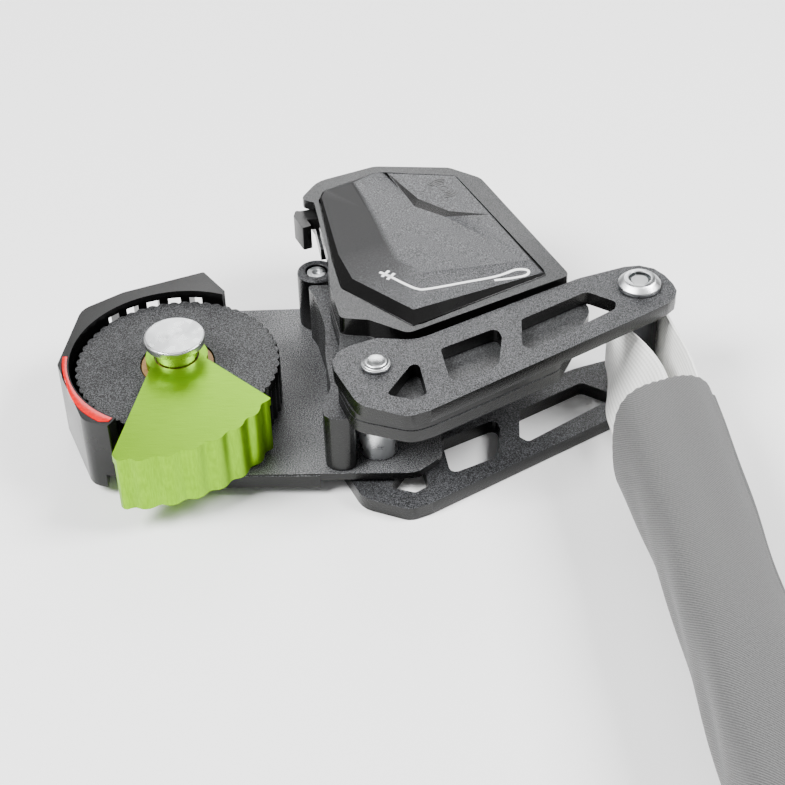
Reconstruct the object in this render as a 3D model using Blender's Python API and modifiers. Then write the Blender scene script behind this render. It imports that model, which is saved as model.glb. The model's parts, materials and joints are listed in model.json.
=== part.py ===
"""Guided rope grab with its absorber lanyard, modelled at real size in metres.

The wheel axle is the Z axis and the base plate's underside is z = 0.  A toothed
rope wheel and a green brake cam share the axle.  The swing-out lid and the load
fork share one pivot, and the lanyard hangs on the fork's bolt.
"""
from math import acos, atan2, cos, exp, pi, radians, sin, sqrt, tan
import bmesh
import bpy
from mathutils import Matrix, Vector

MM = 0.001

# Clearances
SEAT = 0.3 * MM            # between pieces that are clamped or pressed together
RUN = 0.06 * MM            # radial, between a shaft and what turns on it
SIDE = 0.35 * MM           # axial, between faces that slide past each other

# Rope and wheel
ROPE_D = 11.0 * MM
WHEEL_R = 28.0 * MM
WHEEL_H = 14.0 * MM
WHEEL_TEETH = 54
TOOTH_DEPTH = 0.7 * MM
WHEEL_WEB = 4.0 * MM       # solid disc above the clutch pocket
POCKET_R = 24.5 * MM
BUSH_WALL = 1.4 * MM

# Heights
BASE_T = 4.5 * MM          # under the wheel
BASE_THIN = 2.2 * MM       # beside the fork
STEP_BACK = 15.8 * MM      # from the fork pivot to the step in the base plate's underside
WHEEL_LIFT = 1.5 * MM      # wheel above the base plate
CAM_PLATE_T = 2.3 * MM
LID_PLATE_T = 3.7 * MM
FLANGE_T = 1.9 * MM
LID_H = 7.5 * MM           # raised body above the swing plate
COVER_RISE = 2.5 * MM      # label cover above the rim
ARM_T = 4.0 * MM

# Axle
AXLE_R = 5.0 * MM
SPIGOT_R = 3.0 * MM
CAP_SHANK_R = 5.8 * MM
CAP_R = 8.3 * MM
CAP_T = 2.4 * MM
FOOT_R = 8.0 * MM
FOOT_T = 1.8 * MM

# Brake cam
CAM_START_R = 32.8 * MM    # outer radius at the rope side
CAM_START = -36.7          # degrees
CAM_SWEEP = 72.0           # degrees, clockwise from the start
CAM_GROWTH = 0.262         # logarithmic spiral, radius per radian
CAM_GAP = 0.7 * MM         # wall to wheel teeth
CAM_CORNER = 3.0 * MM      # how far the trailing corner is rounded back
FLUTE_PITCH = 7.0 * MM
FLUTE_DEPTH = 1.1 * MM
HUB_R = 8.4 * MM
HUB_WALL = 2.2 * MM

# Guard
GUARD_GAP = 1.4 * MM
GUARD_WINDOWS = 5
WINDOW_PITCH = 12.0        # degrees
WINDOW_W = 3.6 * MM
WINDOW_H = 3.0 * MM
GUARD_WALL = 1.2 * MM      # left standing round a window
FLARE_H = 9.0 * MM         # height of the pocket outside a window
FLARE_STEP = 0.3 * MM      # the pocket stands back from the window's edges
INSERT_DEPTH = 1.3 * MM

# Pivot, fork and lanyard
PIVOT = Vector((54.5 * MM, -20.6 * MM, 0.0))
PIVOT_R = 3.0 * MM
SPACER_WALL = 1.9 * MM
FORK_ANGLE = 23.4          # degrees, from the pivot to the attachment bolt
ARM_LENGTH = 79.0 * MM
ARM_ROUND = 1.0 * MM
FORK_DROP = 1.2 * MM       # lower arm below the thin base plate
BOLT_R = 4.0 * MM
BOLT_SPACER_WALL = 1.4 * MM
BOLT_FLANGE_R = 5.9 * MM
LANYARD_ANGLE = -85.0      # degrees, direction of the lanyard
WEB_T = 1.8 * MM
WEB_W = 22.0 * MM
LOOP_LENGTH = 48.0 * MM
SLEEVE_START = 32.0 * MM
SLEEVE_LENGTH = 182.0 * MM
SLEEVE_R = BOLT_R + 9.3 * MM    # the webbing loop round the bolt goes inside it
SLEEVE_WALL = 1.2 * MM
SLEEVE_CORNER = 9.0 * MM
PACK_LENGTH = 138.0 * MM
PACK_T = 14.0 * MM
END_LOOP_LENGTH = 58.0 * MM
END_LOOP_R = 7.0 * MM

# Anvil and guide post
CHANNEL_SLACK = 1.6 * MM   # rope channel wider than the rope
ANVIL_T = 6.0 * MM
POST = Vector((37.7 * MM, 37.4 * MM, 0.0))
POST_R = 5.65 * MM
SCREW_R = 1.5 * MM
SCREW_HEAD_R = 2.8 * MM
SCREW_HEAD_T = 1.3 * MM

# Clutch
WEIGHT_R = 18.6 * MM
WEIGHT_W = 4.6 * MM
WEIGHT_SWEEP = 96.0        # degrees
PIN_R = 1.5 * MM
RATCHET_TEETH = 12
RATCHET_DEPTH = 1.4 * MM

# Worked-out heights
BASE_TOP = BASE_T
THIN_UNDER = BASE_TOP - BASE_THIN
WHEEL_Z = BASE_TOP + WHEEL_LIFT
WHEEL_TOP = WHEEL_Z + WHEEL_H
RIM_TOP = WHEEL_TOP + SIDE + CAM_PLATE_T
LID_Z = RIM_TOP + SIDE
PLATE_TOP = LID_Z + LID_PLATE_T
SHELL_Z = PLATE_TOP + SEAT
FLANGE_TOP = SHELL_Z + FLANGE_T
SHELL_TOP = SHELL_Z + LID_H
COVER_TOP = SHELL_TOP + COVER_RISE
ARM_Z = FLANGE_TOP + SEAT
ARM_TOP = ARM_Z + ARM_T
LOW_ARM_TOP = THIN_UNDER - FORK_DROP
LOW_ARM_Z = LOW_ARM_TOP - ARM_T
CAP_Z = PLATE_TOP + SIDE
CAP_TOP = CAP_Z + CAP_T
MID_Z = (LOW_ARM_TOP + ARM_Z) / 2

GUARD_R = WHEEL_R + GUARD_GAP
CHANNEL_X = WHEEL_R + ROPE_D + CHANNEL_SLACK
AXLE_ORIGIN = Vector((0.0, 0.0, 0.0))
BOLT = PIVOT + Matrix.Rotation(radians(FORK_ANGLE), 3, 'Z') @ Vector((ARM_LENGTH, 0.0, 0.0))
STUD_DISTANCE = PIVOT.length
LID_CLOSE = 82.0           # degrees that the lid swings to cover the wheel
STUD_IN_LID = atan2(-PIVOT.y, -PIVOT.x) - radians(LID_CLOSE + FORK_ANGLE)


def clear_scene():
    for item in list(bpy.data.objects):
        bpy.data.objects.remove(item, do_unlink=True)


clear_scene()
PARTS = bpy.data.collections.new("rope_grab")
CUTTERS = bpy.data.collections.new("cutters")
bpy.context.scene.collection.children.link(PARTS)
bpy.context.scene.collection.children.link(CUTTERS)


def material(name, colour, roughness, metallic):
    made = bpy.data.materials.new(name)
    made.use_nodes = True
    shader = made.node_tree.nodes["Principled BSDF"]
    shader.inputs["Base Color"].default_value = (*colour, 1.0)
    shader.inputs["Roughness"].default_value = roughness
    shader.inputs["Metallic"].default_value = metallic
    return made


BLACK_ALU = material("black_anodised_aluminium", (0.022, 0.022, 0.023), 0.45, 0.6)
BLACK_PLASTIC = material("black_glass_filled_plastic", (0.018, 0.018, 0.019), 0.55, 0.0)
GREY_COVER = material("dark_grey_cover_plastic", (0.055, 0.055, 0.058), 0.6, 0.0)
GREEN_ALU = material("green_anodised_aluminium", (0.35, 0.65, 0.02), 0.35, 0.7)
RED_PLASTIC = material("signal_red_plastic", (0.8, 0.005, 0.01), 0.4, 0.0)
STEEL = material("turned_stainless_steel", (0.55, 0.55, 0.56), 0.25, 1.0)
SPRING_STEEL = material("spring_steel", (0.4, 0.4, 0.42), 0.35, 1.0)
BRONZE = material("sintered_bronze", (0.45, 0.28, 0.12), 0.45, 1.0)
WHITE_WEB = material("white_polyester_webbing", (0.75, 0.76, 0.77), 0.8, 0.0)
GREY_FABRIC = material("grey_sleeve_fabric", (0.27, 0.27, 0.28), 0.85, 0.0)
TAG_FILM = material("tag_film", (0.5, 0.32, 0.1), 0.5, 0.0)


def place(name, mesh, origin, turn, paint, collection=PARTS):
    """Link a mesh as an object whose origin sits on its joint's axis."""
    item = bpy.data.objects.new(name, mesh)
    item.location = origin
    item.rotation_euler = (0.0, 0.0, turn)
    if paint is not None:
        mesh.materials.clear()
        mesh.materials.append(paint)
    if collection is CUTTERS:
        item.hide_render = True
        item.display_type = 'WIRE'
    collection.objects.link(item)
    return item


def rounded(corners, steps=3):
    """Turn corners (x, y, fillet radius) in mm into an outline with arcs."""
    outline = []
    count = len(corners)
    for index, (x, y, fillet) in enumerate(corners):
        here = Vector((x, y)) * MM
        before = Vector(corners[index - 1][:2]) * MM - here
        after = Vector(corners[(index + 1) % count][:2]) * MM - here
        if fillet <= 0.0:
            outline.append(here)
            continue
        half = acos(max(-1.0, min(1.0, before.normalized().dot(after.normalized())))) / 2
        reach = min(fillet * MM / tan(half), 0.49 * before.length, 0.49 * after.length)
        radius = reach * tan(half)
        middle = here + (before.normalized() + after.normalized()).normalized() * (radius / sin(half))
        start = here + before.normalized() * reach - middle
        end = here + after.normalized() * reach - middle
        sweep = atan2(start.x * end.y - start.y * end.x, start.dot(end))
        for step in range(steps + 1):
            turned_to = Matrix.Rotation(sweep * step / steps, 2) @ start
            outline.append(middle + turned_to)
    return outline


def circle(radius, count=28, centre=(0.0, 0.0)):
    return [Vector((centre[0] + radius * cos(2 * pi * i / count),
                    centre[1] + radius * sin(2 * pi * i / count))) for i in range(count)]


def arc(radius, start, end, count, centre=(0.0, 0.0)):
    """Points along an arc between two angles in radians, ends included."""
    angles = [start + (end - start) * i / count for i in range(count + 1)]
    return [Vector((centre[0] + radius * cos(a), centre[1] + radius * sin(a))) for a in angles]


def plate(name, loops, low, high, origin, turn=0.0, paint=None, collection=PARTS):
    """A flat outline, with holes as further loops, extruded from low to high."""
    curve = bpy.data.curves.new(name, 'CURVE')
    curve.dimensions = '2D'
    curve.fill_mode = 'BOTH'
    curve.extrude = (high - low) / 2
    for loop in loops:
        spline = curve.splines.new('POLY')
        spline.points.add(len(loop) - 1)
        for point, spot in zip(spline.points, loop):
            point.co = (spot[0], spot[1], 0.0, 1.0)
        spline.use_cyclic_u = True
    flat = bpy.data.objects.new(name + "_outline", curve)
    CUTTERS.objects.link(flat)
    depsgraph = bpy.context.evaluated_depsgraph_get()
    mesh = bpy.data.meshes.new_from_object(flat.evaluated_get(depsgraph))
    bpy.data.objects.remove(flat, do_unlink=True)
    mesh.transform(Matrix.Translation((0.0, 0.0, (low + high) / 2)))
    weld(mesh)
    return place(name, mesh, origin, turn, paint, collection)


def weld(mesh):
    work = bmesh.new()
    work.from_mesh(mesh)
    bmesh.ops.remove_doubles(work, verts=work.verts, dist=0.000001)
    bmesh.ops.recalc_face_normals(work, faces=work.faces)
    work.to_mesh(mesh)
    work.free()


def turned(name, profile, origin, paint=None, steps=40, collection=PARTS, closed=True):
    """A profile (radius, height), down its outer side first, spun about the axis."""
    mesh = bpy.data.meshes.new(name)
    points = [(radius, 0.0, height) for radius, height in profile]
    edges = [(i, i + 1) for i in range(len(points) - 1)]
    if closed:
        edges.append((len(points) - 1, 0))
    mesh.from_pydata(points, edges, [])
    item = place(name, mesh, origin, 0.0, paint, collection)
    spin = item.modifiers.new("spin", 'SCREW')
    spin.axis = 'Z'
    spin.steps = steps
    spin.render_steps = steps
    spin.use_merge_vertices = True
    spin.merge_threshold = 0.000001
    spin.use_smooth_shade = True
    return item


def tube(name, inner, outer, low, high, origin, paint=None, steps=40, collection=PARTS):
    profile = [(outer, high), (outer, low), (inner, low), (inner, high)]
    return turned(name, profile, origin, paint, steps, collection)


def rod(name, radius, low, high, origin, paint=None, steps=28, collection=PARTS):
    profile = [(0.0, high), (radius, high), (radius, low), (0.0, low)]
    return turned(name, profile, origin, paint, steps, collection, closed=False)


def combine(target, tool, operation='DIFFERENCE'):
    step = target.modifiers.new(operation.lower() + "_" + tool.name, 'BOOLEAN')
    step.operation = operation
    step.object = tool
    step.solver = 'EXACT'


def soften(target, width, segments=2, angle=40.0):
    edge = target.modifiers.new("soft_edges", 'BEVEL')
    edge.width = width
    edge.segments = segments
    edge.limit_method = 'ANGLE'
    edge.angle_limit = radians(angle)


def coil(name, radius, wire, low, turns, pitch, origin, paint, per_turn=10):
    """A helical spring as a wire of round section."""
    curve = bpy.data.curves.new(name, 'CURVE')
    curve.dimensions = '3D'
    curve.bevel_depth = wire
    curve.bevel_resolution = 2
    curve.use_fill_caps = True
    spline = curve.splines.new('POLY')
    count = int(turns * per_turn)
    spline.points.add(count)
    for index, point in enumerate(spline.points):
        angle = 2 * pi * index / per_turn
        point.co = (radius * cos(angle), radius * sin(angle), low + wire + pitch * index / per_turn, 1.0)
    curve.materials.append(paint)
    item = bpy.data.objects.new(name, curve)
    item.location = origin
    PARTS.objects.link(item)
    return item


def screw(name, x, y, low, length, origin, turn, paint, head_down=True):
    """A countersunk screw whose head face is at its low end."""
    spot = Matrix.Rotation(turn, 3, 'Z') @ Vector((x, y, 0.0)) + origin
    profile = [(0.0, low + length), (SCREW_R - SEAT, low + length), (SCREW_R - SEAT, low + SCREW_HEAD_T),
               (SCREW_HEAD_R - SEAT, low + SEAT), (SCREW_HEAD_R - SEAT, low), (0.0, low)]
    return turned(name, profile, spot, paint, 16, closed=False)


def screw_hole(name, x, y, low, length, origin, turn):
    """The room a countersunk screw needs, open at its low end."""
    spot = Matrix.Rotation(turn, 3, 'Z') @ Vector((x, y, 0.0)) + origin
    top = low + length + SEAT
    profile = [(0.0, top), (SCREW_R, top), (SCREW_R, low + SCREW_HEAD_T + SEAT),
               (SCREW_HEAD_R, low + 2 * SEAT), (SCREW_HEAD_R, low - 1 * MM), (0.0, low - 1 * MM)]
    return turned(name, profile, spot, None, 16, CUTTERS, closed=False)


# ---------------------------------------------------------------- fixed frame

def guard_outline(outset=0.0):
    """The guard's outer polygon: a bevelled shoe around the wheel."""
    far = GUARD_R / MM + outset
    return [(11.6, far - 0.6, 0), (5.0, far + 9.0, 0.6), (-17.5, far + 0.2, 6), (-far + 0.9, 22.0, 6),
            (-far - 2.9, -2.8, 2), (-far + 6.6, -26.6, 5), (-15.8, -far + 0.4, 0.5)]


def guard_loop():
    """Outer polygon closed by the inner arc, which is clear of the wheel."""
    outer = rounded(guard_outline())
    start = atan2(outer[-1].y, outer[-1].x)
    end = atan2(outer[0].y, outer[0].x)
    return outer + arc(GUARD_R, start, end - 2 * pi, 40)


GUARD_SCREWS = [(-19.4, 26.4), (0.8, 33.6)]
ANVIL_SCREWS = [(44.0, 10.0), (45.2, -22.5)]
BOSS = (44.9, -24.6)
BOSS_R = 4.8


def base_plate():
    ear = GUARD_R / MM
    right = PIVOT.x / MM
    outline = rounded([(-12, -ear + 0.6, 0), (right + 10, -ear - 1.3, 6), (right + 17, -ear + 5, 6),
                       (right + 17, -10, 8), (right - 6, 20, 10), (43.6, 43.4, 6), (12.5, 43.4, 2),
                       (5, ear + 8.5, 1), (-17.5, ear - 0.2, 4), (1.2 - ear, 21.4, 3), (1.2 - ear, 16.4, 0),
                       (-24.0, 16.4, 0)])
    back = arc(GUARD_R - SEAT, atan2(16.4, -24.0), atan2(-ear + 0.6, -12) + 2 * pi, 20)[1:-1]
    made = plate("base_plate", [outline + back], THIN_UNDER, BASE_TOP, AXLE_ORIGIN, paint=BLACK_ALU)
    step_x = PIVOT.x - STEP_BACK
    front = Vector((step_x, -(ear + 1.0) * MM))
    rear = Vector((step_x, 43.3 * MM))
    under = [front, rear] + [p for p in outline if p.x < step_x - 0.1 * MM and p.y > 0] + back
    under += [p for p in outline if p.x < step_x - 0.1 * MM and p.y < 0]
    thick_part = plate("base_thickening", [under], 0.0, BASE_TOP - 0.5 * MM, AXLE_ORIGIN, collection=CUTTERS)
    combine(made, thick_part, 'UNION')
    axle_hole = turned("axle_hole", [(0.0, 6 * MM), (AXLE_R + SEAT, 6 * MM), (AXLE_R + SEAT, FOOT_T + SEAT),
                                     (FOOT_R + SEAT, FOOT_T + SEAT), (FOOT_R + SEAT, -1 * MM),
                                     (0.0, -1 * MM)], AXLE_ORIGIN, None, 40, CUTTERS, closed=False)
    combine(made, axle_hole)
    combine(made, rod("pivot_hole_base", PIVOT_R + SEAT, 0.0, 9 * MM, PIVOT, collection=CUTTERS))
    for index, (x, y) in enumerate(GUARD_SCREWS):
        combine(made, screw_hole("guard_hole_%d" % index, x * MM, y * MM, 0.0, 9 * MM, AXLE_ORIGIN, 0.0))
    for index, (x, y) in enumerate(ANVIL_SCREWS):
        combine(made, screw_hole("anvil_hole_%d" % index, x * MM, y * MM, THIN_UNDER, 9 * MM, AXLE_ORIGIN, 0.0))
    combine(made, rod("post_hole", SCREW_R, -1 * MM, 9 * MM, POST, steps=16, collection=CUTTERS))
    return made


def wheel_guard():
    made = plate("wheel_guard", [guard_loop()], 0.1 * MM, RIM_TOP, AXLE_ORIGIN, paint=BLACK_PLASTIC)
    over_base = rounded([(-18.5, -50, 0), (60, -50, 0), (60, 60, 0), (-60, 60, 0), (-60, 16, 0), (-18.5, 16, 0)])
    combine(made, plate("guard_seat", [over_base], -MM, BASE_TOP + SEAT, AXLE_ORIGIN, collection=CUTTERS))
    window_z = RIM_TOP - 2.3 * MM - WINDOW_H
    for index in range(GUARD_WINDOWS):
        angle = radians(84.0 + WINDOW_PITCH * index)
        middle = Vector((cos(angle), sin(angle), 0.0)) * (GUARD_R + 4 * MM)
        bpy.ops.mesh.primitive_cube_add(size=1.0, location=middle + Vector((0, 0, window_z + WINDOW_H / 2)),
                                        rotation=(0.0, 0.0, angle), scale=(20 * MM, WINDOW_W, WINDOW_H))
        window = bpy.context.object
        window.name = "guard_window_%d" % index
        window.users_collection[0].objects.unlink(window)
        CUTTERS.objects.link(window)
        window.hide_render = True
        window.display_type = 'WIRE'
        combine(made, window)
        flare = middle + Vector((cos(angle), sin(angle), 0.0)) * (10 * MM - 4 * MM + GUARD_WALL)
        flare_z = window_z + WINDOW_H - FLARE_STEP - FLARE_H / 2
        bpy.ops.mesh.primitive_cube_add(size=1.0, location=flare + Vector((0, 0, flare_z)),
                                        rotation=(0.0, 0.0, angle),
                                        scale=(20 * MM, WINDOW_W + 2 * FLARE_STEP, FLARE_H))
        outer_pocket = bpy.context.object
        outer_pocket.name = "guard_window_flare_%d" % index
        outer_pocket.users_collection[0].objects.unlink(outer_pocket)
        CUTTERS.objects.link(outer_pocket)
        outer_pocket.hide_render = True
        outer_pocket.display_type = 'WIRE'
        combine(made, outer_pocket)
    combine(made, plate("insert_recess", [insert_loop(SEAT)], RIM_TOP - INSERT_DEPTH, RIM_TOP + 1 * MM,
                        AXLE_ORIGIN, collection=CUTTERS))
    for index, (x, y) in enumerate(GUARD_SCREWS):
        combine(made, rod("guard_thread_%d" % index, SCREW_R, 0.0, 9.3 * MM,
                          Vector((x * MM, y * MM, 0.0)), steps=16, collection=CUTTERS))
    return made


def insert_loop(grow):
    """A crescent along the rim, from the rope-side end to the far left."""
    start, end = radians(182.0), radians(237.0)
    slack = grow / GUARD_R
    inner = arc(GUARD_R + 0.9 * MM - grow, end + slack, start - slack, 14)
    outer = []
    for step in range(15):
        along = step / 14
        angle = (start - slack) + (end - start + 2 * slack) * along
        outer.append(Vector((cos(angle), sin(angle))) * (GUARD_R + 1.5 * MM + 0.9 * MM * along + grow))
    return outer + inner


def red_warning_insert():
    return plate("red_warning_insert", [insert_loop(0.0)], RIM_TOP - INSERT_DEPTH + SEAT, RIM_TOP,
                 AXLE_ORIGIN, paint=RED_PLASTIC)


def axle_stud():
    top = CAP_TOP - 1.2 * MM
    profile = [(0.0, top), (SPIGOT_R, top), (SPIGOT_R, RIM_TOP - 0.6 * MM), (AXLE_R, RIM_TOP - 0.6 * MM),
               (AXLE_R, FOOT_T), (FOOT_R, FOOT_T), (FOOT_R, 0.0), (0.0, 0.0)]
    return turned("axle_stud", profile, AXLE_ORIGIN, STEEL, 40, closed=False)


def axle_cap():
    """The mushroom head that the lid's slot slides under."""
    low = RIM_TOP - 0.3 * MM
    edge = 0.35 * MM
    profile = [(0.0, CAP_TOP), (CAP_R - edge, CAP_TOP), (CAP_R, CAP_TOP - edge), (CAP_R, CAP_Z + edge),
               (CAP_R - edge, CAP_Z), (CAP_SHANK_R, CAP_Z), (CAP_SHANK_R, low), (SPIGOT_R + RUN, low),
               (SPIGOT_R + RUN, CAP_TOP - 0.9 * MM), (0.0, CAP_TOP - 0.9 * MM)]
    return turned("axle_cap", profile, AXLE_ORIGIN, STEEL, 40, closed=False)


def anvil():
    """The wall that the rope is pinched against, ending in a round front boss."""
    face = CHANNEL_X / MM
    back = face + ANVIL_T / MM
    bx, by = BOSS
    outline = rounded([(face - 5.6, 30.2, 1), (face - 3.2, 25, 6), (face, 10, 20), (face, -2, 20),
                       (bx - BOSS_R + 2.2, by + 8, 6), (bx - BOSS_R, by + 3, 3), (bx - BOSS_R, by - BOSS_R, 4),
                       (bx + 3.8, by - BOSS_R, 3.6), (bx + 3.8, by + 2, 3), (back + 0.6, 0, 8),
                       (back - 0.6, 14, 8), (back - 3.6, 30.2, 1)])
    made = plate("anvil", [outline], BASE_TOP + SEAT, RIM_TOP, AXLE_ORIGIN, paint=BLACK_ALU)
    for index, (x, y) in enumerate(ANVIL_SCREWS):
        combine(made, rod("anvil_thread_%d" % index, SCREW_R, 0.0, THIN_UNDER + 9.3 * MM,
                          Vector((x * MM, y * MM, 0.0)), steps=16, collection=CUTTERS))
    return made


def guide_post():
    """A tube at the back of the rope channel with a recess for its screw's head."""
    top, low = RIM_TOP, BASE_TOP + SEAT
    recess = SCREW_HEAD_R + SEAT
    profile = [(recess, top), (POST_R - 0.5 * MM, top), (POST_R, top - 0.5 * MM), (POST_R, low),
               (SCREW_R + SEAT, low), (SCREW_R + SEAT, top - 2.4 * MM), (recess, top - 2.4 * MM)]
    return turned("guide_post", profile, POST, BLACK_ALU, 32)


def guide_post_screw():
    top = RIM_TOP - 0.5 * MM
    head = RIM_TOP - 2.1 * MM
    hex_low = top - 1.0 * MM
    profile = [(0.0, hex_low), (1.2 * MM, hex_low), (1.2 * MM, top), (SCREW_HEAD_R, top),
               (SCREW_HEAD_R, head), (SCREW_R - SEAT, head), (SCREW_R - SEAT, 0.3 * MM), (0.0, 0.3 * MM)]
    return turned("guide_post_screw", profile, POST, STEEL, 24, closed=False)


def frame_screws():
    for index, (x, y) in enumerate(GUARD_SCREWS):
        screw("guard_screw_%d" % (index + 1), x * MM, y * MM, 0.0, 9 * MM, AXLE_ORIGIN, 0.0, STEEL)
    for index, (x, y) in enumerate(ANVIL_SCREWS):
        screw("anvil_screw_%d" % (index + 1), x * MM, y * MM, THIN_UNDER, 9 * MM, AXLE_ORIGIN, 0.0, STEEL)


def pivot_pieces():
    """The rivet through fork, base and lid, with the spacer tube that sets the channel's height."""
    foot = 1.2 * MM
    head_low = ARM_TOP + SEAT
    profile = [(0.0, head_low + 2.0 * MM), (1.9 * MM, head_low + 2.0 * MM), (2.9 * MM, head_low + 1.6 * MM),
               (3.3 * MM, head_low + 0.9 * MM), (3.9 * MM, head_low + 0.7 * MM), (3.9 * MM, head_low),
               (PIVOT_R, head_low), (PIVOT_R, LOW_ARM_Z + foot), (4.2 * MM, LOW_ARM_Z + foot),
               (4.2 * MM, LOW_ARM_Z), (0.0, LOW_ARM_Z)]
    turned("pivot_rivet", profile, PIVOT, STEEL, 32, closed=False)
    bore = PIVOT_R + SEAT
    tube("pivot_spacer", bore, bore + SPACER_WALL, BASE_TOP + SEAT, LID_Z - SIDE, PIVOT, STEEL, 32)
    tube("pivot_washer", bore, bore + SPACER_WALL, LOW_ARM_TOP + SIDE, THIN_UNDER - SEAT, PIVOT, STEEL, 32)


def cam_return_spring():
    coil("cam_return_spring", HUB_R + 1.3 * MM, 0.5 * MM, BASE_TOP + SEAT, 2.2, 1.15 * MM, AXLE_ORIGIN,
         SPRING_STEEL, 12)


# ---------------------------------------------------------------- rope wheel

HUB_OUT = HUB_R
BUSH_IN = HUB_OUT + RUN
BUSH_OUT = BUSH_IN + BUSH_WALL
PIN_CIRCLE = WEIGHT_R
POCKET_TOP = WHEEL_TOP - WHEEL_WEB


def rope_wheel():
    loop = []
    per_tooth = 3
    count = WHEEL_TEETH * per_tooth
    for index in range(count):
        wave = 1.0 if index % per_tooth == 0 else 0.0
        radius = WHEEL_R - TOOTH_DEPTH * wave
        angle = 2 * pi * index / count
        loop.append(Vector((radius * cos(angle), radius * sin(angle))))
    made = plate("rope_wheel", [loop], WHEEL_Z, WHEEL_TOP, AXLE_ORIGIN, paint=BLACK_ALU)
    combine(made, rod("wheel_bore", BUSH_OUT + SEAT, 0.0, 40 * MM, AXLE_ORIGIN, steps=40, collection=CUTTERS))
    combine(made, rod("clutch_pocket", POCKET_R, 0.0, POCKET_TOP, AXLE_ORIGIN, steps=48, collection=CUTTERS))
    for side in (0, 1):
        combine(made, rod("pin_bore_%d" % side, PIN_R + SEAT, POCKET_TOP - MM, POCKET_TOP + 2.5 * MM,
                          pin_spot(side), steps=16, collection=CUTTERS))
    return made


def wheel_bush():
    return tube("wheel_bush", BUSH_IN, BUSH_OUT, POCKET_TOP + SEAT, WHEEL_TOP - SEAT, AXLE_ORIGIN, BRONZE)


def pin_spot(side):
    angle = pi * side
    return Vector((PIN_CIRCLE * cos(angle), PIN_CIRCLE * sin(angle), 0.0))


def flyweight(side):
    """A curved weight on its pin: its nose meets the ratchet when its far end flies out."""
    pin = pin_spot(side)
    shift = Vector((-PIN_CIRCLE, 0.0))
    eye = WEIGHT_W / 2
    start = radians(2.0)
    end = radians(WEIGHT_SWEEP)
    outer = arc(WEIGHT_R + eye, start, end, 12)
    inner = arc(WEIGHT_R - eye, end, start, 12)
    heel = arc(eye, 0.0, -pi, 8, centre=(PIN_CIRCLE, 0.0))
    loop = [p + shift for p in outer + inner]
    heel_loop = [p + shift for p in reversed(heel)]
    outline = loop + [p for p in heel_loop if p.y < -0.2 * MM]
    low, high = WHEEL_Z + SIDE, POCKET_TOP - 3.2 * MM
    return plate("flyweight_%d" % (side + 1), [outline, circle(PIN_R + RUN, 20)], low, high,
                 pin, pi * side, STEEL)


def flyweight_pin(side):
    return rod("flyweight_pin_%d" % (side + 1), PIN_R, WHEEL_Z + SIDE, POCKET_TOP + 2.2 * MM,
               pin_spot(side), STEEL, 20)


def flyweight_spring(side):
    return coil("flyweight_spring_%d" % (side + 1), PIN_R + 0.8 * MM, 0.3 * MM, POCKET_TOP - 2.7 * MM, 2.5,
                0.75 * MM, pin_spot(side), SPRING_STEEL, 8)


# ---------------------------------------------------------------- brake cam

def cam_outline_radius(angle):
    """Logarithmic spiral that grows clockwise, with shallow flutes along it."""
    along = radians(CAM_START) - angle
    radius = CAM_START_R * exp(CAM_GROWTH * along)
    travelled = CAM_START_R / CAM_GROWTH * (exp(CAM_GROWTH * along) - 1) * sqrt(1 + CAM_GROWTH ** 2)
    flute = FLUTE_DEPTH * (0.5 - 0.5 * cos(2 * pi * travelled / FLUTE_PITCH)) ** 1.5
    tail = max(0.0, (along - radians(CAM_SWEEP - 5.0)) / radians(5.0))
    return radius - flute * (1.0 - tail) - CAM_CORNER * tail ** 2


def brake_cam():
    start = radians(CAM_START)
    end = start - radians(CAM_SWEEP)
    steps = 56
    fluted = []
    for step in range(steps + 1):
        angle = start + (end - start) * step / steps
        radius = cam_outline_radius(angle)
        fluted.append(Vector((radius * cos(angle), radius * sin(angle))))
    hub = HUB_R + 0.1 * MM
    left = end - radians(34.0)
    right = start + radians(24.0)
    sector = fluted + arc(hub, left, right - 2 * pi, 20)
    made = plate("brake_cam", [sector], WHEEL_TOP + SIDE, RIM_TOP, AXLE_ORIGIN, paint=GREEN_ALU)
    inner_wall = arc(WHEEL_R + CAM_GAP, end + 0.01, start - 0.01, 24)
    wall = plate("cam_wall", [fluted[1:-1] + inner_wall], WHEEL_Z - 0.4 * MM, RIM_TOP - 0.4 * MM, AXLE_ORIGIN,
                 collection=CUTTERS)
    combine(made, wall, 'UNION')
    hub_tube = tube("cam_hub", HUB_R - HUB_WALL, HUB_R, WHEEL_Z + 1.2 * MM, RIM_TOP - 0.8 * MM, AXLE_ORIGIN,
                    collection=CUTTERS)
    combine(made, hub_tube, 'UNION')
    combine(made, rod("cam_bore", HUB_R - HUB_WALL, 0.0, 40 * MM, AXLE_ORIGIN, steps=40, collection=CUTTERS))
    return made


def cam_bush():
    return tube("cam_bush", AXLE_R + RUN, HUB_R - HUB_WALL - 0.1 * MM, WHEEL_Z + 1.2 * MM, RIM_TOP - 0.9 * MM,
                AXLE_ORIGIN, BRONZE)


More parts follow.
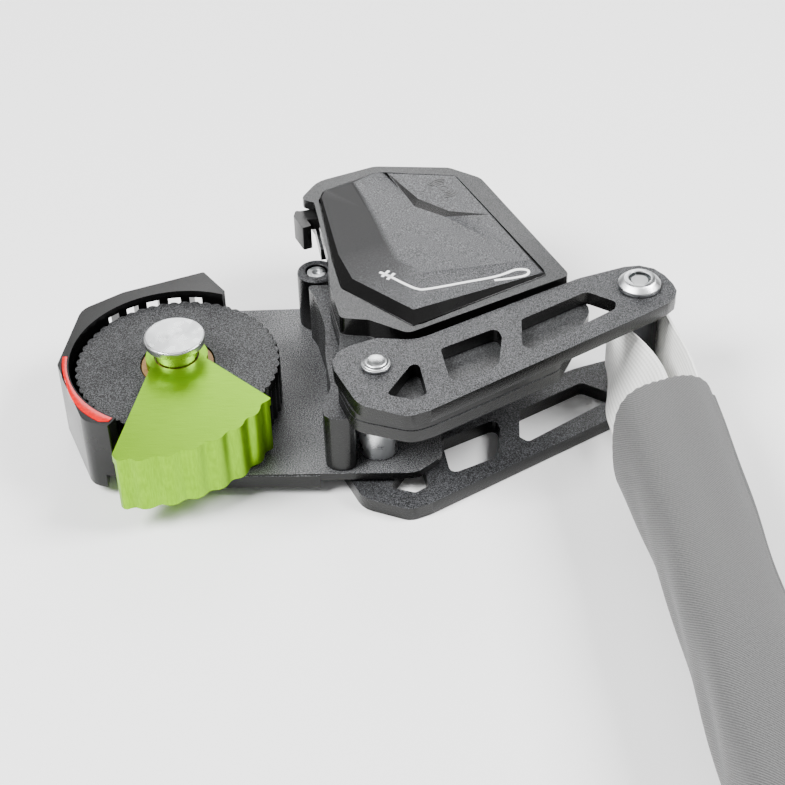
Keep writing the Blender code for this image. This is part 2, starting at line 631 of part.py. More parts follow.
def clutch_ratchet():
    """Saw-toothed ring keyed on the cam's hub, which the flyweights catch."""
    outer = []
    tip = WEIGHT_R - WEIGHT_W / 2 - 2.0 * MM
    for index in range(RATCHET_TEETH):
        angle = 2 * pi * index / RATCHET_TEETH
        pitch = 2 * pi / RATCHET_TEETH
        outer.append(Vector((tip * cos(angle), tip * sin(angle))))
        root = tip - RATCHET_DEPTH
        outer.append(Vector((root * cos(angle + 0.12 * pitch), root * sin(angle + 0.12 * pitch))))
        mid = tip - RATCHET_DEPTH / 2
        outer.append(Vector((mid * cos(angle + 0.6 * pitch), mid * sin(angle + 0.6 * pitch))))
    bore = circle(HUB_R + 0.1 * MM, 40)
    return plate("clutch_ratchet", [outer, bore], WHEEL_Z + 2.9 * MM, POCKET_TOP - 1.2 * MM, AXLE_ORIGIN, paint=STEEL)


# ---------------------------------------------------------------- lid

LID_TURN = radians(FORK_ANGLE)
LEAD = [(10.8, 79.6, 2.5), (14.0, 76.2, 0.5), (7.0, 49.4, 0.5), (2.0, 36.0, 6)]
CREST = [(64.0, 66.5, 6), (58.0, 75.8, 4), (38.0, 86.4, 6), (19.5, 86.4, 9)]
FLANGE = [(-1.5, 21.0, 4), (-10.2, 2.0, 6), (-11.2, -10.5, 7), (0.5, -21.4, 6), (7.0, -21.4, 5),
          (46.0, -15.8, 6), (65.2, 1.5, 7)]
LID_SCREWS = [(17.0, 20.0), (55.0, 20.0), (51.5, 70.5)]
BODY_STEP = 0.3            # mm that the raised body stands in from the flange's edge
LATCH_PIN = (24.6, 67.6)
LATCH_PIN_R = 1.3 * MM
LATCH_HOLD = radians(9.0)   # how far the latch is held back from its place across the slot
NOSE_BITE = 1.6             # mm that the latch's nose reaches into the path of the axle cap
NOSE_LEAD = radians(9.5)    # from the closed place of the stud to the nose


def in_lid(point):
    """World place of a point given in the lid's own frame."""
    return Matrix.Rotation(LID_TURN, 3, 'Z') @ Vector((point[0] * MM, point[1] * MM, 0.0)) + PIVOT


def slot_loop(half_width, beyond):
    """The curved track of the stud, from its closed place out past the leading edge."""
    start = STUD_IN_LID
    end = start + beyond
    outer = arc(STUD_DISTANCE + half_width, start, end, 16)
    inner = arc(STUD_DISTANCE - half_width, end, start, 16)
    centre = (STUD_DISTANCE * cos(start), STUD_DISTANCE * sin(start))
    round_end = arc(half_width, start - pi, start, 12, centre=centre)[1:-1]
    return outer + inner + round_end


def swing_plate():
    """The metal side plate that swings about the pivot and closes over the wheel."""
    outline = rounded(CREST + LEAD + FLANGE)
    made = plate("swing_plate", [outline, circle(PIVOT_R + RUN)], LID_Z, PLATE_TOP, PIVOT, LID_TURN, BLACK_ALU)
    slot = slot_loop(CAP_SHANK_R + 0.4 * MM, radians(50.0))
    combine(made, plate("stud_slot", [slot], LID_Z - MM, PLATE_TOP + MM, PIVOT, LID_TURN, collection=CUTTERS))
    tab_swing = rounded([(4, 76.0, 0), (14.0, 76.0, 0), (14.3, 84, 0), (4, 84, 0)])
    combine(made, plate("tab_clearance", [tab_swing], LID_Z - MM, PLATE_TOP + MM, PIVOT, LID_TURN, collection=CUTTERS))
    for index, (x, y) in enumerate(LID_SCREWS):
        combine(made, screw_hole("lid_hole_%d" % index, x * MM, y * MM, LID_Z, 9 * MM, PIVOT, LID_TURN))
    combine(made, rod("latch_pin_bore", LATCH_PIN_R + SEAT, LID_Z + 1.5 * MM, PLATE_TOP + MM,
                      in_lid(LATCH_PIN), steps=16, collection=CUTTERS))
    return made


def arm_edge(x):
    """Height of the fork arm's upper edge above its centre line, in mm."""
    return 5.4 + (x - 14.0) * 5.2 / 52.0


def raised_corners(inset=0.0):
    """The lid's raised body: its fork side follows the arm with a running gap."""
    gap = 0.7 + inset
    body = [(64.0 - inset, arm_edge(64.0) + gap, 2), (64.0 - inset, 66.5 - inset, 5),
            (58.0 - inset, 75.8 - inset, 4), (38.0, 86.4 - inset, 6), (19.5, 86.4 - inset, 8)]
    lead = [(10.8 + inset, 79.6 - inset / 2, 2), (14.0 + inset, 76.2, 0.5), (7.0 + inset, 49.4, 0.5),
            (2.0 + inset, 36.0, 5), (-1.2 + inset, 21.4 + inset / 2, 2), (5.6 + inset / 2, 17.2 + inset / 2, 3),
            (12.6 + inset / 2, arm_edge(12.6) + gap + 1.2, 3)]
    return body + lead


COVER = [(58.2, 14.8, 3), (57.2, 70.5, 3), (37.2, 82.4, 3), (19.0, 80.0, 3), (16.0, 76.0, 2), (7.8, 46.7, 3),
         (4.9, 34.0, 4), (16.0, 9.6, 3)]


def cover_shell():
    """The moulded lid body: flange round the pivot, raised box, hollow underneath."""
    outline = rounded(CREST + LEAD + FLANGE)
    made = plate("cover_shell", [outline, circle(PIVOT_R + RUN)], SHELL_Z, FLANGE_TOP, PIVOT, LID_TURN,
                 BLACK_PLASTIC)
    body = plate("shell_body", [rounded(raised_corners(BODY_STEP))], SHELL_Z + 0.5 * MM, SHELL_TOP, PIVOT, LID_TURN,
                 collection=CUTTERS)
    combine(made, body, 'UNION')
    ceiling = SHELL_TOP - 2.6 * MM
    hollow = plate("shell_hollow", [rounded(raised_corners(2.4))], SHELL_Z - MM, ceiling, PIVOT, LID_TURN,
                   collection=CUTTERS)
    combine(made, hollow)
    mouth = slot_loop(CAP_R + 0.6 * MM, radians(50.0))
    combine(made, plate("stud_mouth", [mouth], SHELL_Z - MM, CAP_TOP + 1.2 * MM, PIVOT, LID_TURN,
                        collection=CUTTERS))
    tab_way = rounded([(4, 66, 0), (24, 62, 0), (24, 80, 0), (16, 83.4, 0), (4, 83.4, 0)])
    combine(made, plate("latch_mouth", [tab_way], SHELL_Z - MM, ceiling - SEAT, PIVOT, LID_TURN,
                        collection=CUTTERS))
    recess = rounded([(x, y, r) for x, y, r in COVER])
    grown = scaled_outline(recess, SEAT)
    combine(made, plate("cover_recess", [grown], SHELL_TOP - 0.8 * MM, SHELL_TOP + MM, PIVOT, LID_TURN,
                        collection=CUTTERS))
    for index, (x, y) in enumerate(LID_SCREWS):
        boss = rod("boss_%d" % index, 3.0 * MM, SHELL_Z, ceiling + 0.5 * MM, in_lid((x, y)), steps=20,
                   collection=CUTTERS)
        combine(made, boss, 'UNION')
        combine(made, rod("boss_thread_%d" % index, SCREW_R, SHELL_Z - MM, LID_Z + 9.3 * MM, in_lid((x, y)),
                          steps=16, collection=CUTTERS))
    return made


def scaled_outline(outline, grow):
    """An outline moved outwards by about the given amount, about its middle."""
    middle = sum(outline, Vector((0.0, 0.0))) / len(outline)
    return [p + (p - middle).normalized() * grow * 1.4 for p in outline]


def cover_plate():
    """The inset label cover: a low plateau over a sloping border."""
    made = plate("cover_plate", [rounded(COVER)], SHELL_TOP - 0.8 * MM + SEAT, SHELL_TOP + 0.6 * MM, PIVOT,
                 LID_TURN, GREY_COVER)
    plateau = [(56.0, 17.0, 2), (56.2, 69.5, 2), (37.2, 80.6, 2), (25.0, 79.0, 2), (19.5, 37.0, 3), (24.0, 19.0, 3)]
    top = plate("cover_plateau", [rounded(plateau)], SHELL_TOP, COVER_TOP, PIVOT, LID_TURN, collection=CUTTERS)
    soften(top, 1.6 * MM, 1)
    combine(made, top, 'UNION')
    dip = rounded([(60, 46, 0), (44.6, 51.4, 3), (38.3, 60.3, 3), (40, 84, 0), (60, 84, 0)])
    combine(made, plate("tag_dip", [dip], COVER_TOP - 0.9 * MM, COVER_TOP + MM, PIVOT, LID_TURN,
                        collection=CUTTERS))
    combine(made, rod("tag_pocket", 6.3 * MM, SHELL_TOP - 3 * MM, SHELL_TOP + 0.9 * MM, in_lid((48.5, 64.0)),
                      steps=32, collection=CUTTERS))
    return made


def rfid_tag():
    return rod("rfid_tag", 6.0 * MM, SHELL_TOP - 0.5 * MM, SHELL_TOP + 0.5 * MM, in_lid((48.5, 64.0)), TAG_FILM)


def lid_screws():
    for index, (x, y) in enumerate(LID_SCREWS):
        screw("cover_screw_%d" % (index + 1), x * MM, y * MM, LID_Z, 9 * MM, PIVOT, LID_TURN, STEEL)


def latch():
    """A lever drawn with its nose held back from the stud; its tab wraps the leading corner.

    The nose is worked out where it bars the stud, then turned back by LATCH_HOLD about the pin.
    """
    pin = Vector(LATCH_PIN)
    reach = (STUD_DISTANCE + CAP_R) / MM - NOSE_BITE
    tip = Vector((reach * cos(STUD_IN_LID + NOSE_LEAD), reach * sin(STUD_IN_LID + NOSE_LEAD))) - pin
    back = Matrix.Rotation(LATCH_HOLD, 2)
    nose, heel, flank = (back @ v for v in (tip, tip + Vector((4.6, 1.2)), Vector((-3.4, -0.6))))
    corners = [(nose.x, nose.y, 0.6), (heel.x, heel.y, 0.8), (3.4, 0.5, 2), (0.5, 3.4, 2), (-9.5, 10.4, 2),
               (-15.4, 11.4, 0.5), (-15.6, 6.8, 0.5), (-9.4, 4.6, 3), (flank.x, flank.y, 2)]
    low, high = SHELL_Z + SIDE, SHELL_Z + 4.0 * MM
    made = plate("latch", [rounded(corners, 3), circle(LATCH_PIN_R + RUN, 20)], low, high, in_lid(LATCH_PIN),
                 LID_TURN, BLACK_PLASTIC)
    tab = rounded([(-16.6, 2.6, 0.6), (-13.8, 2.6, 0.3), (-13.8, 11.0, 0.3), (-15.0, 12.0, 0.6), (-16.6, 9.6, 0.6)], 2)
    tab_block = plate("latch_tab", [tab], LID_Z + 0.2 * MM, high, in_lid(LATCH_PIN), LID_TURN,
                      collection=CUTTERS)
    combine(made, tab_block, 'UNION')
    return made


def latch_pin():
    return rod("latch_pin", LATCH_PIN_R, LID_Z + 1.8 * MM, SHELL_Z + 4.5 * MM, in_lid(LATCH_PIN), STEEL, 20)


# ---------------------------------------------------------------- fork

def arm_loops(bore, bolt_bore):
    """The fork arm's outline with its three windows, pivot at the origin."""
    far = ARM_LENGTH / MM
    outline = rounded([(-10.5, 10.8, 9.5), (5.0, 10.8, 5), (14.0, 5.4, 10), (66.0, 10.6, 24),
                       (far + 8.9, 9.2, 8.4), (far + 8.9, -9.0, 8.4), (far - 3.0, -11.4, 6), (5.0, -22.4, 5),
                       (-1.0, -22.4, 5), (-10.5, -12.5, 7)])
    triangle = rounded([(11.2, -1.4, 1.4), (-2.4, -11.8, 1.2), (3.0, -16.8, 1.2), (7.2, -16.0, 1.2)], 3)
    window = rounded([(18.2, -0.9, 1.5), (35.6, 0.6, 1.8), (35.0, -3.6, 2), (29.0, -13.6, 2), (14.6, -14.4, 1.8)], 3)
    long_window = rounded([(38.2, -9.0, 1.0), (43.2, 1.0, 1.5), (far - 14.2, 4.2, 2), (far - 9.2, -3.4, 1.5),
                           (far - 11.0, -6.0, 1.2), (39.4, -11.8, 1.2)], 3)
    return [outline, triangle, window, long_window, circle(bore), circle(bolt_bore, 28, (ARM_LENGTH, 0.0))]


def upper_arm():
    loops = arm_loops(PIVOT_R + RUN, BOLT_R + SEAT)
    made = plate("upper_arm", loops, ARM_Z, ARM_TOP, PIVOT, LID_TURN, BLACK_ALU)
    soften(made, ARM_ROUND * 0.6, 1, 60.0)
    return made


def lower_arm():
    loops = arm_loops(PIVOT_R + RUN, BOLT_R + SEAT)
    made = plate("lower_arm", loops, LOW_ARM_Z, LOW_ARM_TOP, PIVOT, LID_TURN, BLACK_ALU)
    soften(made, ARM_ROUND * 0.6, 1, 60.0)
    combine(made, rod("rivet_foot_recess", 4.5 * MM, LOW_ARM_Z - MM, LOW_ARM_Z + 1.5 * MM, PIVOT,
                      collection=CUTTERS))
    combine(made, rod("nut_recess", BOLT_FLANGE_R + SEAT, LOW_ARM_Z - MM, LOW_ARM_Z + 2.0 * MM, BOLT,
                      collection=CUTTERS))
    return made


def attachment_bolt():
    """Hollow-headed bolt: a wide flange, a bevelled ring and a deep recess."""
    low = ARM_TOP + SEAT
    ring = 4.7 * MM
    recess = 3.0 * MM
    profile = [(recess, low + 2.6 * MM), (ring - 0.5 * MM, low + 2.6 * MM), (ring, low + 2.2 * MM),
               (BOLT_FLANGE_R, low + 1.0 * MM), (BOLT_FLANGE_R, low), (BOLT_R, low),
               (BOLT_R, LOW_ARM_Z + 2.3 * MM), (0.0, LOW_ARM_Z + 2.3 * MM), (0.0, low - 0.6 * MM),
               (recess, low - 0.6 * MM)]
    return turned("attachment_bolt", profile, BOLT, STEEL, 36, closed=True)


def bolt_pieces():
    low = ARM_TOP + SEAT
    rod("bolt_lock_pin", 2.3 * MM, low - 0.3 * MM, low + 1.9 * MM, BOLT, STEEL, 24)
    rod("attachment_nut", BOLT_FLANGE_R, LOW_ARM_Z, LOW_ARM_Z + 1.7 * MM, BOLT, STEEL, 32)
    bore = BOLT_R + SEAT
    tube("bolt_spacer", bore, bore + BOLT_SPACER_WALL, LOW_ARM_TOP + SEAT, ARM_Z - SEAT, BOLT, BLACK_ALU, 36)


# ---------------------------------------------------------------- lanyard

LOOP_IN = BOLT_R + SEAT + BOLT_SPACER_WALL + SEAT
LANYARD_TURN = radians(LANYARD_ANGLE)


def stadium(radius, start, end, steps=12):
    """A slot shape along +X, round at both ends."""
    return arc(radius, pi / 2, 3 * pi / 2, steps, (start, 0.0)) + arc(radius, -pi / 2, pi / 2, steps, (end, 0.0))


def webbing_loop():
    """The woven band round the bolt's spacer, sewn shut inside the sleeve."""
    end = LOOP_LENGTH - LOOP_IN
    loops = [stadium(LOOP_IN + WEB_T, 0.0, end), stadium(LOOP_IN, 0.0, end)]
    return plate("webbing_loop", loops, MID_Z - WEB_W / 2, MID_Z + WEB_W / 2, BOLT, LANYARD_TURN, WHITE_WEB)


def tear_webbing_pack():
    start = LOOP_LENGTH + WEB_T + SEAT
    half = PACK_T / 2
    loop = [Vector((start, -half)), Vector((start + PACK_LENGTH, -half)), Vector((start + PACK_LENGTH, half)),
            Vector((start, half))]
    width = sqrt((SLEEVE_R - SLEEVE_WALL - MM) ** 2 - half ** 2)
    return plate("tear_webbing_pack", [loop], MID_Z - width, MID_Z + width, BOLT, LANYARD_TURN, WHITE_WEB)


def end_loop():
    """The sewn eye that takes a connector, standing out of the sleeve's far end."""
    start = LOOP_LENGTH + WEB_T + PACK_LENGTH + 2 * SEAT + END_LOOP_R + WEB_T
    end = start + END_LOOP_LENGTH - 2 * END_LOOP_R
    loops = [stadium(END_LOOP_R + WEB_T, start, end), stadium(END_LOOP_R, start, end)]
    width = WEB_W * 0.6
    return plate("end_loop", loops, MID_Z - width / 2, MID_Z + width / 2, BOLT, LANYARD_TURN, WHITE_WEB)


def absorber_sleeve():
    """The fabric tube over the absorber, open at both ends."""
    def section(half, corner):
        return rounded([(half, half, corner), (-half, half, corner), (-half, -half, corner), (half, -half, corner)], 6)
    outer = section(SLEEVE_R / MM, SLEEVE_CORNER / MM)
    inner = section((SLEEVE_R - SLEEVE_WALL) / MM, (SLEEVE_CORNER - SLEEVE_WALL) / MM)
    made = plate("absorber_sleeve", [outer, inner], SLEEVE_START, SLEEVE_START + SLEEVE_LENGTH,
                 BOLT + Vector((0.0, 0.0, MID_Z)), paint=GREY_FABRIC)
    made.rotation_euler = (0.0, pi / 2, LANYARD_TURN)
    return made


def build():
    base_plate()
    wheel_guard()
    red_warning_insert()
    axle_stud()
    axle_cap()
    anvil()
    guide_post()
    guide_post_screw()
    frame_screws()
    pivot_pieces()
    cam_return_spring()
    rope_wheel()
    wheel_bush()
    for side in (0, 1):
        flyweight(side)
        flyweight_pin(side)
        flyweight_spring(side)
    brake_cam()
    cam_bush()
    clutch_ratchet()
    swing_plate()
    cover_shell()
    cover_plate()
    rfid_tag()
    lid_screws()
    latch()
    latch_pin()
    upper_arm()
    lower_arm()
    attachment_bolt()
    bolt_pieces()
    webbing_loop()
    tear_webbing_pack()
    end_loop()
    absorber_sleeve()
    for item in PARTS.objects:
        if item.type == 'MESH':
            item.data.shade_smooth()
            item.data.set_sharp_from_angle(angle=radians(30.0))


build()
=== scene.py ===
"""The looks of an open rope grab with its sleeved absorber lanyard."""
import json
from math import cos, pi, radians, sin

import bmesh
import bpy
import numpy as np
from mathutils import Matrix, Vector
from mathutils.bvhtree import BVHTree


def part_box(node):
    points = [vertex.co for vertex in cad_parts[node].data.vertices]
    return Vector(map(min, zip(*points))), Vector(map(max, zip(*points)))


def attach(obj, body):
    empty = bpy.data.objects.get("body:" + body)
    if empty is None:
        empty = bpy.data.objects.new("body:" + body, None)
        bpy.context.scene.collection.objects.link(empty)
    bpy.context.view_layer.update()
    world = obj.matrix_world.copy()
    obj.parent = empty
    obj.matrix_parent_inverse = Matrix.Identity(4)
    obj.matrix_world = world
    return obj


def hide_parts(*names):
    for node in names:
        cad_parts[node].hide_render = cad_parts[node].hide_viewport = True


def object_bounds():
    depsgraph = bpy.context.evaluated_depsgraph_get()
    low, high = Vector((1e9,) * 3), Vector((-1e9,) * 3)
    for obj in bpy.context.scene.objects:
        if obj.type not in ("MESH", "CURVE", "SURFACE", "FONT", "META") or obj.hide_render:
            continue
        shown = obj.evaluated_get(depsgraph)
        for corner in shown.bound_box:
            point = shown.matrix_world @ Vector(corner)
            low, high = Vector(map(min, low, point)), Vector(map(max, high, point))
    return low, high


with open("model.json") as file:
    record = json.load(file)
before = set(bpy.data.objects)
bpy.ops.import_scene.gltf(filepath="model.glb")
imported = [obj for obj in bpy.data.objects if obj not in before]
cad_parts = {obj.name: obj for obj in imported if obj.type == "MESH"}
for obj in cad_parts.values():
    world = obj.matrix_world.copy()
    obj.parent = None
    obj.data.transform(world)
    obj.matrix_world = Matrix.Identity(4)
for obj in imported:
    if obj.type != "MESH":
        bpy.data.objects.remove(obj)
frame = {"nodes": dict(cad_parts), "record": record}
cad_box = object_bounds()

# ---------------------------------------------------------------- camera, floor and light
# A long lens looks down at the wheel unit and the fork at about forty degrees.
# The floor is just under the part's lowest face.  Two soft boxes light it, and a weak one stands behind.
wheel_low, wheel_high = (Vector(corner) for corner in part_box("rope_wheel"))
axle = Vector(((wheel_low.x + wheel_high.x) / 2, (wheel_low.y + wheel_high.y) / 2, wheel_high.z))
aim = axle + Vector((0.0586, -0.0157, 0.0))
look_down = radians(39.64)
roll = radians(-1.741)
forward = Vector((0.0, cos(look_down), -sin(look_down)))
level_up = Vector((1.0, 0.0, 0.0)).cross(forward)
right = Vector((cos(roll), 0.0, 0.0)) + level_up * sin(roll)
up = Vector((-sin(roll), 0.0, 0.0)) + level_up * cos(roll)
camera_data = bpy.data.cameras.new("camera")
camera_data.lens = 82.55
camera_data.clip_start = 0.01
camera = bpy.data.objects.new("camera", camera_data)
stand = aim - forward * 0.481
camera.matrix_world = Matrix((
    (right.x, up.x, -forward.x, stand.x),
    (right.y, up.y, -forward.y, stand.y),
    (right.z, up.z, -forward.z, stand.z),
    (0.0, 0.0, 0.0, 1.0)))
bpy.context.scene.collection.objects.link(camera)
bpy.context.scene.camera = camera


def linear(hex_colour):
    """The sRGB curve undone: c / 12.92 below 0.04045, else ((c + 0.055) / 1.055) ** 2.4."""
    channels = [int(hex_colour[i:i + 2], 16) / 255 for i in (1, 3, 5)]
    undone = [c / 12.92 if c <= 0.04045 else ((c + 0.055) / 1.055) ** 2.4 for c in channels]
    return (*undone, 1.0)


def add(tree, kind, inputs=None, **settings):
    """One node with its settings, its input values and its links."""
    node = tree.nodes.new(kind)
    for name, value in settings.items():
        setattr(node, name, value)
    for name, value in (inputs or {}).items():
        if isinstance(value, bpy.types.NodeSocket):
            tree.links.new(value, node.inputs[name])
        else:
            node.inputs[name].default_value = value
    return node


def new_finish(name):
    """An empty node tree with its output, ready for a shader."""
    made = bpy.data.materials.new(name)
    made.use_nodes = True
    made.node_tree.nodes.clear()
    output = made.node_tree.nodes.new("ShaderNodeOutputMaterial")
    return made, made.node_tree, output


def face_outward(mesh):
    """Turns the faces of a closed mesh outward."""
    work = bmesh.new()
    work.from_mesh(mesh)
    bmesh.ops.recalc_face_normals(work, faces=work.faces)
    work.to_mesh(mesh)
    work.free()


def placed(name, mesh):
    """A new object of this mesh, in the scene."""
    made = bpy.data.objects.new(name, mesh)
    bpy.context.scene.collection.objects.link(made)
    return made


def area_light(name, spot, towards, size, power, tint="#FFFFFF"):
    """A square soft box that faces a point."""
    data = bpy.data.lights.new(name, 'AREA')
    data.shape = 'SQUARE'
    data.size = size
    data.energy = power
    data.color = linear(tint)[:3]
    lamp = bpy.data.objects.new(name, data)
    lamp.location = spot
    lamp.rotation_euler = (Vector(towards) - Vector(spot)).to_track_quat('-Z', 'Y').to_euler()
    bpy.context.scene.collection.objects.link(lamp)
    return lamp


area_light("left_key", (-0.55, -0.30, 0.80), (0.05, 0.0, 0.0), 0.45, 24.0)
area_light("right_key", (0.75, -0.05, 0.70), (0.06, -0.05, 0.0), 0.40, 17.0)
area_light("back_edge_box", (0.05, 0.62, 0.40), (0.05, 0.0, 0.01), 0.35, 2.6)

world = bpy.data.worlds.new("studio")
world.use_nodes = True
world.node_tree.nodes["Background"].inputs["Color"].default_value = linear("#FFFFFF")
world.node_tree.nodes["Background"].inputs["Strength"].default_value = 0.32
bpy.context.scene.world = world

paper, tree, output = new_finish("pale_paper_floor")
shader = add(tree, "ShaderNodeBsdfPrincipled", {"Base Color": linear("#FBFBFB"), "Roughness": 0.9})
tree.links.new(shader.outputs["BSDF"], output.inputs["Surface"])
sheet_mesh = bpy.data.meshes.new("floor")
reach = 12.0                # metres, so that no edge of the floor is in the picture
FLOOR_GAP = 0.0002
floor_z = cad_box[0][2] - FLOOR_GAP
sheet_mesh.from_pydata([(-reach, -reach, floor_z), (reach, -reach, floor_z), (reach, reach, floor_z),
                        (-reach, reach, floor_z)], [], [(0, 1, 2, 3)])
sheet_mesh.materials.append(paper)
placed("floor", sheet_mesh)

# ---------------------------------------------------------------- what the metal pieces share
# Plates of aluminium are cut, tumbled round at the edges, blasted and anodised black.
# The blast leaves grains that catch the light one by one.


def blasted_black(name, dark, light, grain, roughness, metallic=0.2):
    """Grains: noise of the grit's size drives the tint and a bump, and a broad noise varies the gloss."""
    made, tree, output = new_finish(name)
    place = add(tree, "ShaderNodeTexCoord")
    grit = add(tree, "ShaderNodeTexNoise", {"Vector": place.outputs["Object"], "Scale": 1.0 / grain,
                                            "Detail": 2.0, "Roughness": 0.6})
    wear = add(tree, "ShaderNodeTexNoise", {"Vector": place.outputs["Object"], "Scale": 60.0, "Detail": 3.0})
    tint = add(tree, "ShaderNodeValToRGB", {"Fac": grit.outputs["Fac"]})
    tint.color_ramp.elements[0].position = 0.44
    tint.color_ramp.elements[0].color = linear(dark)
    tint.color_ramp.elements[1].position = 0.68
    tint.color_ramp.elements[1].color = linear(light)
    gloss = add(tree, "ShaderNodeMapRange", {"Value": wear.outputs["Fac"], "From Min": 0.3, "From Max": 0.7,
                                             "To Min": roughness - 0.06, "To Max": roughness + 0.06})
    bump = add(tree, "ShaderNodeBump", {"Height": grit.outputs["Fac"], "Strength": 0.55,
                                        "Distance": grain * 0.5})
    shader = add(tree, "ShaderNodeBsdfPrincipled", {
        "Base Color": tint.outputs["Color"], "Roughness": gloss.outputs["Result"], "Metallic": metallic,
        "Specular IOR Level": 0.35,
        "Normal": bump.outputs["Normal"]})
    tree.links.new(shader.outputs["BSDF"], output.inputs["Surface"])
    return made


body_of = {node: body for body, nodes in frame["record"]["behaviour"]["bodies"].items() for node in nodes}
slot_of = {part["node"]: part["material_slot"] for part in frame["record"]["subparts"]}


def hand_over(piece, body, nodes):
    """The piece moves with its body and stands for its nodes, which are hidden."""
    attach(piece, body)
    if nodes:
        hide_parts(*nodes)
    return piece


def tumbled(node, finish, edge, segments=2, angle=28.0, shaded_sides=None):
    """A node's own shape with its flat faces rejoined and its edges rounded by a bevel."""
    mesh = frame["nodes"][node].data.copy()
    work = bmesh.new()
    work.from_mesh(mesh)
    bmesh.ops.remove_doubles(work, verts=work.verts, dist=0.000002)
    bmesh.ops.dissolve_limit(work, angle_limit=radians(1.0), verts=work.verts, edges=work.edges)
    work.to_mesh(mesh)
    work.free()
    mesh.materials.clear()
    mesh.materials.append(finish)
    # Faces that stand upright take the side finish, a darker copy that paints the shade on the sides.
    if shaded_sides:
        mesh.materials.append(shaded_sides)
        for face in mesh.polygons:
            face.material_index = 1 if abs(face.normal.z) < 0.5 else 0
    mesh.polygons.foreach_set("use_smooth", np.ones(len(mesh.polygons), dtype=bool))
    mesh.set_sharp_from_angle(angle=radians(35.0))
    if mesh.has_custom_normals:
        mesh.normals_split_custom_set([(0.0, 0.0, 0.0)] * len(mesh.loops))
    piece = placed(node + "_finished", mesh)
    if edge > 0.0:
        rounding = piece.modifiers.new("tumbled_edge", 'BEVEL')
        rounding.width = edge
        rounding.segments = segments
        rounding.limit_method = 'ANGLE'
        rounding.angle_limit = radians(angle)
        rounding.harden_normals = True
    return hand_over(piece, body_of[node], [node])


# ---------------------------------------------------------------- fork arms
# Two identical forged arms, tumbled to a thick round edge, fine blast and black anodise.
arm_finish = blasted_black("fine_blasted_black_anodised_aluminium", "#0B0B0B", "#66676A", 0.00024, 0.40)
# The side finish is a darker, glossier black for every upright face: a real gloss, and painted shade on the sides.
shaded_cut_edge = blasted_black("polished_black_anodised_edge_painted_shade", "#030303", "#060606", 0.0004, 0.22, 0.0)
for arm in ("upper_arm", "lower_arm"):
    tumbled(arm, arm_finish, 0.0010, 3, shaded_sides=shaded_cut_edge)

# ---------------------------------------------------------------- side plates
# Stamped sheet aluminium.  The base plate is coarsely blasted, so its flat top glitters grey.
plate_finish = blasted_black("coarse_blasted_black_anodised_plate", "#1E1F20", "#A0A1A3", 0.00028, 0.40)
tumbled("base_plate", plate_finish, 0.0005, shaded_sides=shaded_cut_edge)
tumbled("swing_plate", arm_finish, 0.0009, 3, shaded_sides=shaded_cut_edge)
tumbled("anvil", arm_finish, 0.0008, 3, shaded_sides=shaded_cut_edge)
tumbled("guide_post", arm_finish, 0.0004, shaded_sides=shaded_cut_edge)

# ---------------------------------------------------------------- rope wheel
# A turned and knurled aluminium wheel, hard anodised black with a coarse grain on its face.
wheel_finish = blasted_black("knurled_hard_anodised_wheel", "#060606", "#58595B", 0.0003, 0.5)
tumbled("rope_wheel", wheel_finish, 0.00015, 1, shaded_sides=shaded_cut_edge)


def moulded_plastic(name, dark, light, roughness, grain, depth):
    """Spark-eroded mould texture: fine noise bump, and a broad noise that varies the gloss."""
    made, tree, output = new_finish(name)
    place = add(tree, "ShaderNodeTexCoord")
    grit = add(tree, "ShaderNodeTexNoise", {"Vector": place.outputs["Object"], "Scale": 1.0 / grain, "Detail": 2.0})
    broad = add(tree, "ShaderNodeTexNoise", {"Vector": place.outputs["Object"], "Scale": 45.0, "Detail": 3.0})
    tint = add(tree, "ShaderNodeValToRGB", {"Fac": grit.outputs["Fac"]})
    tint.color_ramp.elements[0].position = 0.42
    tint.color_ramp.elements[0].color = linear(dark)
    tint.color_ramp.elements[1].position = 0.66
    tint.color_ramp.elements[1].color = linear(light)
    gloss = add(tree, "ShaderNodeMapRange", {"Value": broad.outputs["Fac"], "From Min": 0.3, "From Max": 0.7,
                                             "To Min": roughness - 0.05, "To Max": roughness + 0.05})
    bump = add(tree, "ShaderNodeBump", {"Height": grit.outputs["Fac"], "Strength": depth, "Distance": grain * 0.4})
    shader = add(tree, "ShaderNodeBsdfPrincipled", {"Base Color": tint.outputs["Color"],
                                                    "Roughness": gloss.outputs["Result"],
                                                    "Specular IOR Level": 0.35,
                                                    "Normal": bump.outputs["Normal"]})
    tree.links.new(shader.outputs["BSDF"], output.inputs["Surface"])
    return made


# ---------------------------------------------------------------- wheel guard and its warning insert
# One glass-filled nylon moulding with five windows behind the wheel, satin black, its upright sides a darker glossy
# copy that paints their shade.
# The red insert is a crescent let into its rim.
# The side finish is darker than the satin tops: a real gloss, and painted shade on every upright face.
shaded_gloss_side = moulded_plastic("glossy_black_moulded_side_painted_shade", "#040404", "#070707", 0.25, 0.0006, 0.1)
guard_finish = moulded_plastic("satin_black_glass_filled_nylon", "#0B0B0B", "#181818", 0.38, 0.0002, 0.3)
tumbled("wheel_guard", guard_finish, 0.0004, shaded_sides=shaded_gloss_side)
tumbled("latch", guard_finish, 0.0003)
red_finish = moulded_plastic("glossy_red_moulded_insert", "#B80008", "#CC000A", 0.22, 0.0008, 0.05)


INSERT_CROWN = 0.00012
INSERT_PROUD = 0.0001       # above the guard's rim
INSERT_SUNK = 0.0006        # below it


